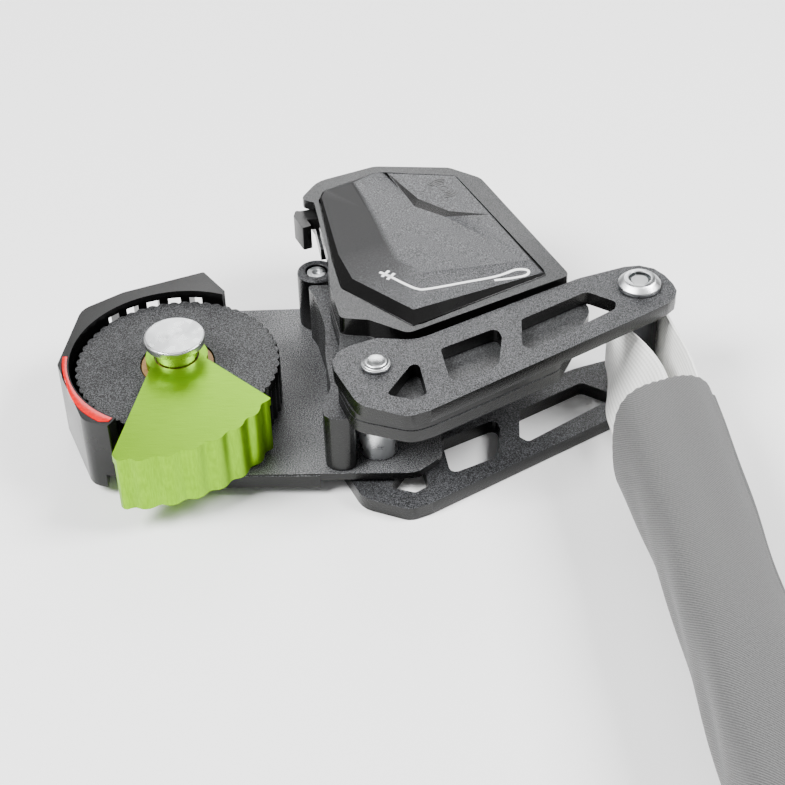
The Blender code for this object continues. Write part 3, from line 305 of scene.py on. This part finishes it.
def crescent():
    """A thin plate between two radii that both follow the guard's rim: it widens towards its lower end."""
    angle = np.radians(np.linspace(179.0, 240.0, 60))
    inner = np.interp(np.degrees(angle), [179, 200, 240], [29.9, 29.8, 30.0])
    outer = np.interp(np.degrees(angle), [179, 200, 224, 236, 240], [31.2, 30.85, 32.6, 32.9, 31.6])
    across = np.linspace(0, 1, 6)
    radius = (inner[:, None] + (outer - inner)[:, None] * across) / 1000
    crown = INSERT_CROWN * (1 - (2 * across - 1) ** 2)
    axle_x, axle_y = (wheel_low.x + wheel_high.x) / 2, (wheel_low.y + wheel_high.y) / 2
    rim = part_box("wheel_guard")[1][2]
    shape = (len(angle), len(across))
    top = np.stack([axle_x + radius * np.cos(angle)[:, None], axle_y + radius * np.sin(angle)[:, None],
                    np.broadcast_to(rim + INSERT_PROUD + crown, shape)], axis=-1)
    under = top[:, ::-1].copy()
    under[..., 2] = rim - INSERT_SUNK
    return np.concatenate([top, under], axis=1)


insert_points = crescent()
insert_mesh = bpy.data.meshes.new("red_insert_moulded")
rows, columns = insert_points.shape[:2]
grid_index = np.arange(rows * columns).reshape(rows, columns)
insert_faces = [(grid_index[i, k], grid_index[i + 1, k], grid_index[i + 1, (k + 1) % columns],
                 grid_index[i, (k + 1) % columns]) for i in range(rows - 1) for k in range(columns)]
insert_faces += [tuple(grid_index[0]), tuple(grid_index[-1, ::-1])]
insert_mesh.from_pydata(insert_points.reshape(-1, 3).tolist(), [], [tuple(int(v) for v in f) for f in insert_faces])
insert_mesh.materials.append(red_finish)
face_outward(insert_mesh)
insert = placed("red_insert_moulded", insert_mesh)
hand_over(insert, body_of["red_warning_insert"], ["red_warning_insert"])

# ---------------------------------------------------------------- lid
# The shell is moulded in black nylon over the swing plate; the label cover is a softer dark grey.
shell_finish = moulded_plastic("satin_black_lid_nylon", "#131314", "#4C4D4E", 0.42, 0.00024, 0.5)
# The shell's upright sides take that darker side finish: painted shade.
tumbled("cover_shell", shell_finish, 0.0008, 3, shaded_sides=shaded_gloss_side)

# ---------------------------------------------------------------- turned and ground steel
# Studs, heads, screws and clutch parts, turned from stainless bar.  The tool leaves rings,
# so the light runs across each face in a cross from its own axis.


def turned_steel(name, centre, roughness=0.3):
    """The tangent is the ring direction: the place, taken from the turning axis, crossed with Z."""
    made, tree, output = new_finish(name)
    place = add(tree, "ShaderNodeTexCoord")
    arm = add(tree, "ShaderNodeVectorMath", {0: place.outputs["Object"], 1: (centre[0], centre[1], 0.0)},
              operation='SUBTRACT')
    flat = add(tree, "ShaderNodeVectorMath", {0: arm.outputs["Vector"], 1: (1.0, 1.0, 0.0)}, operation='MULTIPLY')
    ring = add(tree, "ShaderNodeVectorMath", {0: flat.outputs["Vector"], 1: (0.0, 0.0, 1.0)},
               operation='CROSS_PRODUCT')
    around = add(tree, "ShaderNodeVectorMath", {0: ring.outputs["Vector"]}, operation='NORMALIZE')
    distance = add(tree, "ShaderNodeVectorMath", {0: flat.outputs["Vector"]}, operation='LENGTH')
    grooves = add(tree, "ShaderNodeTexNoise", {"W": distance.outputs["Value"], "Scale": 4500.0, "Detail": 2.0},
                  noise_dimensions='1D')
    bump = add(tree, "ShaderNodeBump", {"Height": grooves.outputs["Fac"], "Strength": 0.25, "Distance": 0.00004})
    scuffs = add(tree, "ShaderNodeTexNoise", {"Vector": place.outputs["Object"], "Scale": 350.0, "Detail": 3.0})
    gloss = add(tree, "ShaderNodeMapRange", {"Value": scuffs.outputs["Fac"], "From Min": 0.3, "From Max": 0.7,
                                             "To Min": roughness - 0.06, "To Max": roughness + 0.06})
    shader = add(tree, "ShaderNodeBsdfPrincipled", {
        "Base Color": linear("#C9CBCC"), "Metallic": 1.0, "Roughness": gloss.outputs["Result"],
        "Anisotropic": 0.8, "Tangent": around.outputs["Vector"], "Normal": bump.outputs["Normal"]})
    tree.links.new(shader.outputs["BSDF"], output.inputs["Surface"])
    return made


def middle_of(node):
    """The middle of a node's box."""
    low, high = (Vector(corner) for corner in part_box(node))
    return (low + high) / 2


for steel_node, edge in (("axle_cap", 0.0003), ("pivot_rivet", 0.0002), ("attachment_bolt", 0.0002),
                         ("attachment_nut", 0.0002), ("pivot_washer", 0.0001), ("pivot_spacer", 0.0002),
                         ("axle_stud", 0.0002), ("guide_post_screw", 0.0002)):
    tumbled(steel_node, turned_steel("turned_stainless_" + steel_node, middle_of(steel_node)), edge)
# Pieces that keep their CAD shape take a finish by their slot.
plain_steel = turned_steel("turned_stainless_small_parts", (0.0, 0.0, 0.0), 0.36)
bronze = moulded_plastic("sintered_bronze_bush", "#7A5630", "#94703F", 0.45, 0.0003, 0.2)
tag_film = moulded_plastic("black_laminated_tag", "#141414", "#1C1C1C", 0.4, 0.0004, 0.1)
for node, cad in frame["nodes"].items():
    if slot_of[node] in ("turned_steel", "spring_wire"):
        cad.data.materials[0] = plain_steel
    elif slot_of[node] == "bronze":
        cad.data.materials[0] = bronze
    elif slot_of[node] == "tag":
        cad.data.materials[0] = tag_film

LID_TURN = 23.4             # degrees, as in the CAD


def lid_place(points):
    """World places, in metres, of points given in millimetres in the lid's own frame and in height."""
    pivot = middle_of("pivot_rivet")
    points = np.asarray(points, float) / 1000
    turn = radians(LID_TURN)
    return np.stack([pivot.x + points[:, 0] * cos(turn) - points[:, 1] * sin(turn),
                     pivot.y + points[:, 0] * sin(turn) + points[:, 1] * cos(turn), points[:, 2]], axis=-1)


# ---------------------------------------------------------------- label cover
# A dark grey moulding let into the shell: a wall that fades out towards the crest, a label
# field, a tilted plateau with one bevelled side, and a facet sunk over the tag.
# Its wall and the step into the sunk facet are painted dark as shade and shadow, and the field darkens towards its far
# corners as painted shade.
cover_finish, tree, output = new_finish("dark_grey_spark_textured_cover")
place = add(tree, "ShaderNodeTexCoord")
# The painted shade value mixes the speckled grey towards flat near-black #0E0E0F, with weaker bump and sheen: painted
# shade on the cover's far side.
painted_shade_of = add(tree, "ShaderNodeAttribute", attribute_name="painted_far_side_shade")
grit = add(tree, "ShaderNodeTexNoise", {"Vector": place.outputs["Object"], "Scale": 3600.0, "Detail": 2.0})
speck = add(tree, "ShaderNodeValToRGB", {"Fac": grit.outputs["Fac"]})
speck.color_ramp.elements[0].position = 0.42
speck.color_ramp.elements[0].color = linear("#151516")
speck.color_ramp.elements[1].position = 0.68
speck.color_ramp.elements[1].color = linear("#66676A")
tint = add(tree, "ShaderNodeMix", {"Factor": painted_shade_of.outputs["Fac"], 6: speck.outputs["Color"],
                                   7: linear("#0E0E0F")}, data_type='RGBA')
gloss = add(tree, "ShaderNodeMapRange", {"Value": painted_shade_of.outputs["Fac"], "To Min": 0.48, "To Max": 0.40})
sheen = add(tree, "ShaderNodeMapRange", {"Value": painted_shade_of.outputs["Fac"], "To Min": 0.4, "To Max": 0.12})
depth = add(tree, "ShaderNodeMapRange", {"Value": painted_shade_of.outputs["Fac"], "To Min": 0.5, "To Max": 0.08})
bump = add(tree, "ShaderNodeBump", {"Height": grit.outputs["Fac"], "Strength": depth.outputs["Result"],
                                    "Distance": 0.0001})
shader = add(tree, "ShaderNodeBsdfPrincipled", {"Base Color": tint.outputs[2], "Roughness": gloss.outputs["Result"],
                                                "Specular IOR Level": sheen.outputs["Result"],
                                                "Normal": bump.outputs["Normal"]})
tree.links.new(shader.outputs["BSDF"], output.inputs["Surface"])

# Corners of the cover in millimetres, in the lid's own frame.
FOOT_Z, WALL_Z = 34.05, 34.7
foot = [(57.9, 14.2), (57.4, 46.2), (57.2, 70.3), (37.2, 82.2), (19.0, 80.0), (16.6, 77.4), (8.0, 47.1),
        (4.9, 33.6), (15.1, 9.5)]
field = [(57.1, 15.0, 35.1), (57.1, 46.2, 35.25), (56.9, 70.1, 35.1), (37.2, 81.9, 35.1), (19.1, 79.7, 35.0),
         (17.0, 77.0, 35.0), (9.6, 47.1, 35.8), (8.3, 34.2, 36.2), (17.4, 14.0, 36.3)]
edge_line = [(56.3, 19.8, 36.1), (56.8, 46.2, 35.5), (56.8, 69.8, 35.2), (37.2, 81.6, 35.2), (28.2, 79.8, 35.2),
             (26.1, 64.2, 35.6), (23.4, 47.0, 36.2), (21.9, 36.9, 36.6), (25.3, 26.4, 36.9)]
plateau = [(56.2, 20.2, 36.3), (56.7, 46.2, 35.6), (56.7, 69.6, 35.22), (37.2, 81.4, 35.26), (28.9, 79.7, 35.32),
           (27.6, 64.2, 35.9), (25.4, 47.0, 36.5), (24.2, 37.6, 36.85), (26.6, 27.3, 37.0)]
brow = [(44.0, 50.0, 36.35), (38.5, 58.7, 36.3), (39.6, 79.9, 35.25)]
dip = [(47.2, 53.7, 35.12), (41.9, 63.6, 35.1)]
count = len(foot)
rings = [(x, y, FOOT_Z) for x, y in foot] + [(x, y, WALL_Z) for x, y in foot] + field + edge_line + plateau
corners = rings + brow + dip
cover_faces = [tuple(range(count - 1, -1, -1))]
for ring in range(4):
    for k in range(count):
        nearer, further = ring * count + k, ring * count + (k + 1) % count
        cover_faces.append((nearer, further, further + count, nearer + count))
top = 4 * count
brow_1, brow_2, brow_3, dip_1, dip_2 = (5 * count + k for k in range(5))
cover_faces.remove((3 * count + 2, 3 * count + 3, top + 3, top + 2))
cover_faces.append((3 * count + 2, 3 * count + 3, top + 3, brow_3, top + 2))
cover_faces += [(top, top + 1, brow_1), (top, brow_1, brow_2), (top, brow_2, top + 8),
                (brow_2, brow_3, top + 3), (brow_2, top + 3, top + 4), (brow_2, top + 4, top + 5),
                (brow_2, top + 5, top + 6), (brow_2, top + 6, top + 7), (brow_2, top + 7, top + 8),
                (top + 1, dip_1, brow_1), (brow_1, dip_1, dip_2, brow_2), (brow_2, dip_2, brow_3),
                (top + 1, top + 2, dip_1), (dip_1, top + 2, dip_2), (dip_2, top + 2, brow_3)]
cover_mesh = bpy.data.meshes.new("label_cover_moulded")
cover_mesh.from_pydata(lid_place(corners).tolist(), [], cover_faces)
face_outward(cover_mesh)
# The cover's rings are painted darker towards corners 4 to 7, and corner 8 of the wall's top fully dark: painted shade.
painted_shade_values = np.zeros(len(corners))
painted_shade_at = {4: 0.9, 5: 1.0, 6: 0.95, 7: 0.75, 8: 0.05}
for ring in (1, 2, 3):
    for k, value in painted_shade_at.items():
        painted_shade_values[ring * count + k] = value
painted_shade_values[count + 8] = 1.0
cover_mesh.attributes.new("painted_far_side_shade", 'FLOAT', 'POINT').data.foreach_set("value", painted_shade_values)
cover_mesh.polygons.foreach_set("use_smooth", np.ones(len(cover_mesh.polygons), dtype=bool))
cover_mesh.set_sharp_from_angle(angle=radians(7.0))
cover_mesh.materials.append(cover_finish)
cover_mesh.materials.append(shaded_gloss_side)
# The wall and the step down into the sunk facet take the dark glossy side finish: painted shade on the wall, and a
# painted shadow on the step.
wall_faces = [f for f in cover_faces if all(v < 3 * count for v in f)]
brow_faces = [(top + 1, dip_1, brow_1), (brow_1, dip_1, dip_2, brow_2), (brow_2, dip_2, brow_3)]
painted_shade_faces = {tuple(sorted(f)) for f in wall_faces + brow_faces}
# Index 1, the glossy side finish, is here painted shade on the wall and a painted shadow on the step.
for face in cover_mesh.polygons:        # index 1 is the glossy side
    face.material_index = 1 if tuple(sorted(face.vertices)) in painted_shade_faces else 0
cover = placed("label_cover_moulded", cover_mesh)
rounding = cover.modifiers.new("moulded_edge", 'BEVEL')
rounding.width = 0.00022
rounding.segments = 2
rounding.limit_method = 'ANGLE'
rounding.angle_limit = radians(12.0)
hand_over(cover, "lid", ["cover_plate"])
cover_tree = BVHTree.FromPolygons([v.co.copy() for v in cover_mesh.vertices],
                                  [tuple(f.vertices) for f in cover_mesh.polygons])


INK_RISE = 0.0001           # above the cover, and as far below it
ABOVE_COVER = 45.0          # millimetres, where the rays start
FIELD_Z = 0.0351            # where a ray misses the cover


def printed(name, lines, colour, roughness):
    """Flat ribbons of ink laid along lines of the lid's frame, each point dropped onto the cover."""
    made, tree, output = new_finish(name)
    place = add(tree, "ShaderNodeTexCoord")
    worn = add(tree, "ShaderNodeTexNoise", {"Vector": place.outputs["Object"], "Scale": 900.0, "Detail": 2.0})
    gloss = add(tree, "ShaderNodeMapRange", {"Value": worn.outputs["Fac"], "To Min": roughness - 0.1,
                                             "To Max": roughness + 0.1})
    shader = add(tree, "ShaderNodeBsdfPrincipled", {"Base Color": linear(colour), "Roughness": gloss.outputs["Result"]})
    tree.links.new(shader.outputs["BSDF"], output.inputs["Surface"])
    vertices, faces = [], []
    for line, wide in lines:
        line = np.asarray(line, float)
        step = np.gradient(line, axis=0)
        step /= np.linalg.norm(step, axis=1)[:, None]
        side = np.stack([-step[:, 1], step[:, 0]], axis=-1) * wide / 2
        first = len(vertices)
        for pair in zip(line + side, line - side):
            for x, y in pair:
                above = Vector(lid_place([(x, y, ABOVE_COVER)])[0])
                hit = cover_tree.ray_cast(above, Vector((0.0, 0.0, -1.0)))[0]
                if hit is None:
                    hit = Vector((above.x, above.y, FIELD_Z))
                vertices += [hit + Vector((0, 0, INK_RISE)), hit - Vector((0, 0, INK_RISE))]
        for k in range(len(line) - 1):
            n = first + 4 * k
            faces += [(n, n + 2, n + 6, n + 4), (n + 1, n + 5, n + 7, n + 3), (n, n + 4, n + 5, n + 1),
                      (n + 2, n + 3, n + 7, n + 6)]
        n = first + 4 * (len(line) - 1)
        faces += [(first, first + 1, first + 3, first + 2), (n, n + 2, n + 3, n + 1)]
    mesh = bpy.data.meshes.new(name)
    mesh.from_pydata(vertices, [], faces)
    mesh.materials.append(made)
    face_outward(mesh)
    return hand_over(placed(name, mesh), "lid", [])


def drawn_through(knots, per=12):
    """A Catmull-Rom line through the knots."""
    knots = np.asarray(knots, float)
    ends = np.concatenate([[2 * knots[0] - knots[1]], knots, [2 * knots[-1] - knots[-2]]])
    out = []
    for a, b, c, d in zip(ends, ends[1:], ends[2:], ends[3:]):
        for t in np.linspace(0, 1, per, endpoint=False):
            out.append(0.5 * (2 * b + (c - a) * t + (2 * a - 5 * b + 4 * c - d) * t ** 2
                              + (3 * b - a - 3 * c + d) * t ** 3))
    return np.array(out + [knots[-1]])


def ring_part(centre, radius, start, end):
    """Part of a circle, in degrees."""
    angle = np.radians(np.linspace(start, end, 18))
    return np.stack([centre[0] + radius * np.cos(angle), centre[1] + radius * np.sin(angle)], axis=-1)


# The sign of a lanyard, printed in white: a knot, the line and the loop at its end.
lanyard_sign = [(drawn_through([(17.6, 31.0), (20.0, 25.4), (22.0, 21.6), (24.6, 20.4), (34.0, 19.3), (44.0, 18.3),
                                (50.6, 18.6), (53.6, 17.2), (52.4, 15.7), (48.4, 15.9), (43.2, 16.9)]), 0.75),
                (drawn_through([(15.9, 31.2), (18.7, 32.8)], 4), 0.8),
                (drawn_through([(16.7, 29.4), (19.5, 31.0)], 4), 0.8),
                (drawn_through([(16.2, 33.4), (17.9, 30.2)], 4), 0.8)]
printed("white_printed_lanyard_sign", lanyard_sign, "#F2F2F2", 0.5)
tag_middle = (51.0, 65.1)
tag_sign = [(ring_part(tag_middle, radius, lean - wide, lean + wide), 0.42)
            for radius in (2.3, 3.15, 4.0, 4.85) for lean, wide in ((97.0, 36.0), (-80.0, 33.0))]
tag_sign.append((ring_part(tag_middle, 1.15, -30.0, 250.0), 0.5))
printed("black_moulded_tag_sign", tag_sign, "#050505", 0.35)

# ---------------------------------------------------------------- brake cam
# A fluted block of aluminium, brushed, blasted and anodised lime green.
# A noise stretched along X tints it in streaks, and a fine noise roughens it.
cam_green, tree, output = new_finish("brushed_lime_green_anodised_aluminium")
place = add(tree, "ShaderNodeTexCoord")
stretch = add(tree, "ShaderNodeMapping", {"Vector": place.outputs["Object"], "Scale": (160.0, 9000.0, 400.0)})
streaks = add(tree, "ShaderNodeTexNoise", {"Vector": stretch.outputs["Vector"], "Scale": 1.0, "Detail": 3.0})
specks = add(tree, "ShaderNodeTexNoise", {"Vector": place.outputs["Object"], "Scale": 3200.0, "Detail": 1.0})
tint = add(tree, "ShaderNodeValToRGB", {"Fac": streaks.outputs["Fac"]})
tint.color_ramp.elements[0].position = 0.3
tint.color_ramp.elements[0].color = linear("#6E9E00")
tint.color_ramp.elements[1].position = 0.7
tint.color_ramp.elements[1].color = linear("#82B800")
bump = add(tree, "ShaderNodeBump", {"Height": specks.outputs["Fac"], "Strength": 0.3, "Distance": 0.0001})
shader = add(tree, "ShaderNodeBsdfPrincipled", {
    "Base Color": tint.outputs["Color"], "Metallic": 0.85, "Roughness": 0.36, "Normal": bump.outputs["Normal"]})
tree.links.new(shader.outputs["BSDF"], output.inputs["Surface"])
tumbled("brake_cam", cam_green, 0.0005, 3)


# ---------------------------------------------------------------- webbing
# Polyester webbing 1.8 mm thick, with ribs along it and a groove inside each edge.
# One loop goes round the bolt's spacer and into the sleeve's mouth; one leaves its far end.


LANYARD_TURN = -85.0        # degrees, as in the CAD
BAND_THICKNESS = 0.0018
LOOP_WIDTH = 0.022
END_LOOP_WIDTH = 0.0132


def lanyard_place(along, across, height):
    """World places from distances along, across and above the lanyard's line from the bolt."""
    bolt = middle_of("bolt_spacer")
    turn = radians(LANYARD_TURN)
    return np.stack([bolt.x + along * cos(turn) - across * sin(turn),
                     bolt.y + along * sin(turn) + across * cos(turn), bolt.z + height], axis=-1)


def skin(name, points, finish, uv, close_u=False, close_v=True, caps=False):
    """A surface over a grid of points, with the UV map given in metres along and round it."""
    rows, columns = points.shape[:2]
    index = np.arange(rows * columns).reshape(rows, columns)
    faces = []
    for i in range(rows if close_u else rows - 1):
        for k in range(columns if close_v else columns - 1):
            faces.append((index[i, k], index[(i + 1) % rows, k], index[(i + 1) % rows, (k + 1) % columns],
                          index[i, (k + 1) % columns]))
    if caps:
        faces.append(tuple(index[0]))
        faces.append(tuple(index[-1, ::-1]))
    mesh = bpy.data.meshes.new(name)
    mesh.from_pydata(points.reshape(-1, 3).tolist(), [], [tuple(int(v) for v in f) for f in faces])
    layer = mesh.uv_layers.new(name="cloth")
    for face in mesh.polygons:
        corners = [mesh.loops[k].vertex_index for k in face.loop_indices]
        vs = [float(uv[c // columns, c % columns, 1]) for c in corners]
        wrap = close_v and max(vs) - min(vs) > 0.5 * float(uv[0, -1, 1])
        for k, c, v in zip(face.loop_indices, corners, vs):
            lap = float(uv[0, -1, 1] + (uv[0, -1, 1] - uv[0, -2, 1])) if wrap and v == 0.0 else v
            layer.data[k].uv = (float(uv[c // columns, c % columns, 0]), lap)
    mesh.polygons.foreach_set("use_smooth", np.ones(len(mesh.polygons), dtype=bool))
    mesh.materials.append(finish)
    made = placed(name, mesh)
    face_outward(mesh)
    return made


def ribbed_webbing(name, colour, shade):
    """Ribs run along the band as a wave across it; picks cross them as a wave that bends with the ribs."""
    made, tree, output = new_finish(name)
    place = add(tree, "ShaderNodeUVMap", uv_map="cloth")
    split = add(tree, "ShaderNodeSeparateXYZ", {"Vector": place.outputs["UV"]})
    ribs = add(tree, "ShaderNodeMath", {0: split.outputs["Y"], 1: 2 * pi / 0.0011}, operation='MULTIPLY')
    rib = add(tree, "ShaderNodeMath", {0: ribs.outputs["Value"]}, operation='SINE')
    lean = add(tree, "ShaderNodeMath", {0: rib.outputs["Value"], 1: 0.6}, operation='MULTIPLY')
    picks = add(tree, "ShaderNodeMath", {0: split.outputs["X"], 1: 2 * pi / 0.0009}, operation='MULTIPLY')
    slope = add(tree, "ShaderNodeMath", {0: picks.outputs["Value"], 1: lean.outputs["Value"]}, operation='ADD')
    pick = add(tree, "ShaderNodeMath", {0: slope.outputs["Value"]}, operation='SINE')
    weave = add(tree, "ShaderNodeMath", {0: pick.outputs["Value"], 1: 0.35, 2: rib.outputs["Value"]},
                operation='MULTIPLY_ADD')
    height = add(tree, "ShaderNodeMapRange", {"Value": weave.outputs["Value"], "From Min": -1.35,
                                              "From Max": 1.35, "To Min": 0.0, "To Max": 1.0})
    tint = add(tree, "ShaderNodeMix", {"Factor": height.outputs["Result"], 6: linear(shade), 7: linear(colour)},
               data_type='RGBA')
    bump = add(tree, "ShaderNodeBump", {"Height": height.outputs["Result"], "Strength": 0.45, "Distance": 0.0002})
    shader = add(tree, "ShaderNodeBsdfPrincipled", {
        "Base Color": tint.outputs[2], "Roughness": 0.7, "Sheen Weight": 0.2, "Normal": bump.outputs["Normal"]})
    tree.links.new(shader.outputs["BSDF"], output.inputs["Surface"])
    return made


white_webbing = ribbed_webbing("white_ribbed_polyester_webbing", "#FAFAF7", "#D8D8D4")


def band(name, along, across, turn_deg, thickness, width, height, finish, body, nodes):
    """A band swept along a path in the lanyard's own plane.

    Its section is a flat bar with a groove inside each rounded edge.  Each section stands on the path's normal and is
    leaned about the path by its own turn.
    """
    along, across, lean = (np.asarray(v, float) for v in (along, across, turn_deg))
    lean = np.radians(lean)
    step = np.stack([np.gradient(along), np.gradient(across)], axis=-1)
    step /= np.linalg.norm(step, axis=1)[:, None]
    normal = np.stack([step[:, 1], -step[:, 0]], axis=-1)
    half_t, half_w = thickness / 2, width / 2
    side = np.linspace(-1, 1, 15)
    swell = 1.0 - 0.30 * np.exp(-((np.abs(side) - 0.80) / 0.05) ** 2)
    round_off = np.sqrt(np.clip(1 - np.clip((np.abs(side) - 0.93) / 0.075, 0, 1) ** 2, 0.05, 1))
    profile_t = half_t * swell * round_off
    outline = np.concatenate([np.stack([profile_t, side * half_w], -1),
                              np.stack([-profile_t[::-1], side[::-1] * half_w], -1)])
    out = outline[None, :, 0] * np.cos(lean)[:, None] - outline[None, :, 1] * np.sin(lean)[:, None]
    rise = outline[None, :, 0] * np.sin(lean)[:, None] + outline[None, :, 1] * np.cos(lean)[:, None]
    points = lanyard_place(along[:, None] + normal[:, 0:1] * out, across[:, None] + normal[:, 1:2] * out,
                           rise + height)
    travel = np.concatenate([[0.0], np.cumsum(np.hypot(np.diff(along), np.diff(across)))])
    girth = np.concatenate([[0.0], np.cumsum(np.hypot(*np.diff(outline, axis=0).T))])
    uv = np.stack(np.broadcast_arrays(travel[:, None], girth[None, :]), axis=-1)
    made = skin(name, points, finish, uv, caps=True)
    made.data.set_sharp_from_angle(angle=radians(50.0))
    return hand_over(made, body, nodes)


wrap_r = 0.0071             # round the bolt's spacer
wrap = np.linspace(-pi / 2, pi / 2, 25)
strand = np.linspace(0.044, 0.001, 36)
inward = 0.0022 * (0.5 - 0.5 * np.cos(pi * np.clip(strand / 0.03, 0, 1)))
ease = 0.5 - 0.5 * np.cos(pi * np.clip(strand / 0.026, 0, 1))
loop_along = np.concatenate([strand, -wrap_r * np.cos(wrap), strand[::-1]])
loop_across = np.concatenate([-wrap_r + inward, wrap_r * np.sin(wrap), np.full(len(strand), wrap_r)])
LEFT_LEAN, RIGHT_LEAN = -40.0, 12.0         # degrees, where the strands enter the sleeve
loop_lean = np.concatenate([LEFT_LEAN * ease, np.zeros(len(wrap)), RIGHT_LEAN * ease[::-1]])
band("webbing_loop_woven", loop_along, loop_across, loop_lean, BAND_THICKNESS, LOOP_WIDTH, 0.0, white_webbing,
     "lanyard", ["webbing_loop"])

eye_r = 0.0079              # of the end loop's round end
eye_mid = middle_of("end_loop")
bolt_mid = middle_of("bolt_spacer")
turn = np.linspace(-pi / 2, pi / 2, 25)
lanyard_end = (Vector((eye_mid.x, eye_mid.y, 0)) - Vector((bolt_mid.x, bolt_mid.y, 0))).length
half_eye = 0.0290
round_from = lanyard_end + half_eye - eye_r - 0.001
straight = np.linspace(lanyard_end - half_eye + 0.002, round_from, 30)
eye_along = np.concatenate([straight, round_from + eye_r * np.cos(turn),
                            straight[::-1]])
narrow = eye_r * (0.55 + 0.45 * np.clip((straight - straight[0]) / 0.03, 0, 1) ** 0.8)
eye_across = np.concatenate([-narrow, eye_r * np.sin(turn), narrow[::-1]])
band("end_loop_woven", eye_along, eye_across, np.zeros(len(eye_along)), BAND_THICKNESS, END_LOOP_WIDTH, 0.0,
     white_webbing, "lanyard", ["end_loop"])

# ---------------------------------------------------------------- absorber sleeve
# A tube of grey polyester twill slipped over the folded tear webbing and sewn along its right side.
# Its mouth is pinked, slanted and flared on the left, and its far end is pinched.
# The pack inside fills it like a bolster.
sleeve_cloth, tree, output = new_finish("grey_polyester_twill_sleeve")
place = add(tree, "ShaderNodeUVMap", uv_map="cloth")
split = add(tree, "ShaderNodeSeparateXYZ", {"Vector": place.outputs["UV"]})
warp = add(tree, "ShaderNodeMath", {0: split.outputs["X"], 1: 2 * pi / 0.0008}, operation='MULTIPLY')
twill = add(tree, "ShaderNodeMath", {0: split.outputs["Y"], 1: 2 * pi / 0.0008, 2: warp.outputs["Value"]},
            operation='MULTIPLY_ADD')
diagonal = add(tree, "ShaderNodeMath", {0: twill.outputs["Value"]}, operation='SINE')
thread = add(tree, "ShaderNodeTexNoise", {"Vector": place.outputs["UV"], "Scale": 1800.0, "Detail": 2.0})
cloth_height = add(tree, "ShaderNodeMath", {0: diagonal.outputs["Value"], 1: 0.5, 2: thread.outputs["Fac"]},
                   operation='MULTIPLY_ADD')
tint = add(tree, "ShaderNodeMapRange", {"Value": cloth_height.outputs["Value"], "From Min": -0.1, "From Max": 1.1,
                                        "To Min": 0.0, "To Max": 1.0})
shade = add(tree, "ShaderNodeMix", {"Factor": tint.outputs["Result"], 6: linear("#3E3E3E"), 7: linear("#626262")},
            data_type='RGBA')
bump = add(tree, "ShaderNodeBump", {"Height": cloth_height.outputs["Value"], "Strength": 0.5, "Distance": 0.0002})
shader = add(tree, "ShaderNodeBsdfPrincipled", {"Base Color": shade.outputs[2], "Roughness": 0.85,
                                                "Sheen Weight": 0.15, "Normal": bump.outputs["Normal"]})
tree.links.new(shader.outputs["BSDF"], output.inputs["Surface"])


SLEEVE_START, SLEEVE_LENGTH, SLEEVE_HALF = 0.032, 0.182, 0.0131
SECTION_POWER = 3.4         # of the rounded square
GIRTH = SLEEVE_HALF * 1.15  # cloth length per radian
PINK_PITCH = 0.0024
INSIDE = 0.93               # the inner wall's size


def sleeve_tube():
    """Rounded-square sections along the lanyard; the wall sinks and swells in slow folds.

    Three shallow folds stand near the mouth, a slow twist runs along, and finer folds fill the middle.
    The rows go back inside from the far end, so the wall closes on itself and shows a thickness.
    """
    start, length, half, power = SLEEVE_START, SLEEVE_LENGTH, SLEEVE_HALF, SECTION_POWER
    rows, columns = 220, 144
    along = np.linspace(0.0, 1.0, rows)[:, None]
    angle = np.linspace(0.0, 2 * pi, columns, endpoint=False)[None, :]
    radius = half / (np.abs(np.cos(angle)) ** power + np.abs(np.sin(angle)) ** power) ** (1 / power)
    mouth = np.exp(-along * length / 0.03)
    tail = np.exp(-(1 - along) * length / 0.02)
    folds = (0.00045 * np.sin(3 * angle + 1.2) * mouth + 0.0005 * np.sin(2 * angle + 9 * along)
             + 0.00025 * np.sin(5 * angle - 30 * along) * np.sin(pi * along)
             - 0.0012 * tail * np.cos(angle) ** 2)
    seam = 0.0007 * np.exp(-((angle - 0.42) / 0.05) ** 2) - 0.0004 * np.exp(-((angle - 0.53) / 0.04) ** 2)
    radius = radius + folds + seam - 0.0004
    pink = 0.0006 * np.abs(((angle * GIRTH / PINK_PITCH) % 1.0) * 2 - 1)
    near = np.clip(1 - along * length / 0.05, 0, 1)
    oblique = (0.0058 - 0.0038 * np.cos(angle) - 0.0080 * np.sin(angle)) * near
    radius = radius + 0.0034 * np.clip(-np.cos(angle), 0, 1) ** 2 * near ** 1.5
    x = start + 0.0035 + along * (length - 0.0035) + oblique + pink * (along < 0.002)
    pinch = np.exp(-(1 - along) * length / 0.014)
    outer = np.stack([x, radius * np.cos(angle) * (1 - 0.48 * pinch),
                      radius * np.sin(angle) * (1 - 0.26 * pinch)], axis=-1)
    inner = outer[::-1].copy()
    inner[..., 1:] *= INSIDE
    inner = inner[[0, 4, 12, 40, 100, 160, 200, 212, 217, 219]]
    grid = np.concatenate([outer, inner])
    points = lanyard_place(grid[..., 0], grid[..., 1], grid[..., 2])
    v = np.broadcast_to(angle * GIRTH, grid.shape[:2])
    return points, np.stack([grid[..., 0], v], axis=-1)


sleeve_points, sleeve_uv = sleeve_tube()
sleeve = skin("absorber_sleeve_sewn", sleeve_points, sleeve_cloth, sleeve_uv, close_u=True)
hand_over(sleeve, "lanyard", ["absorber_sleeve", "tear_webbing_pack"])
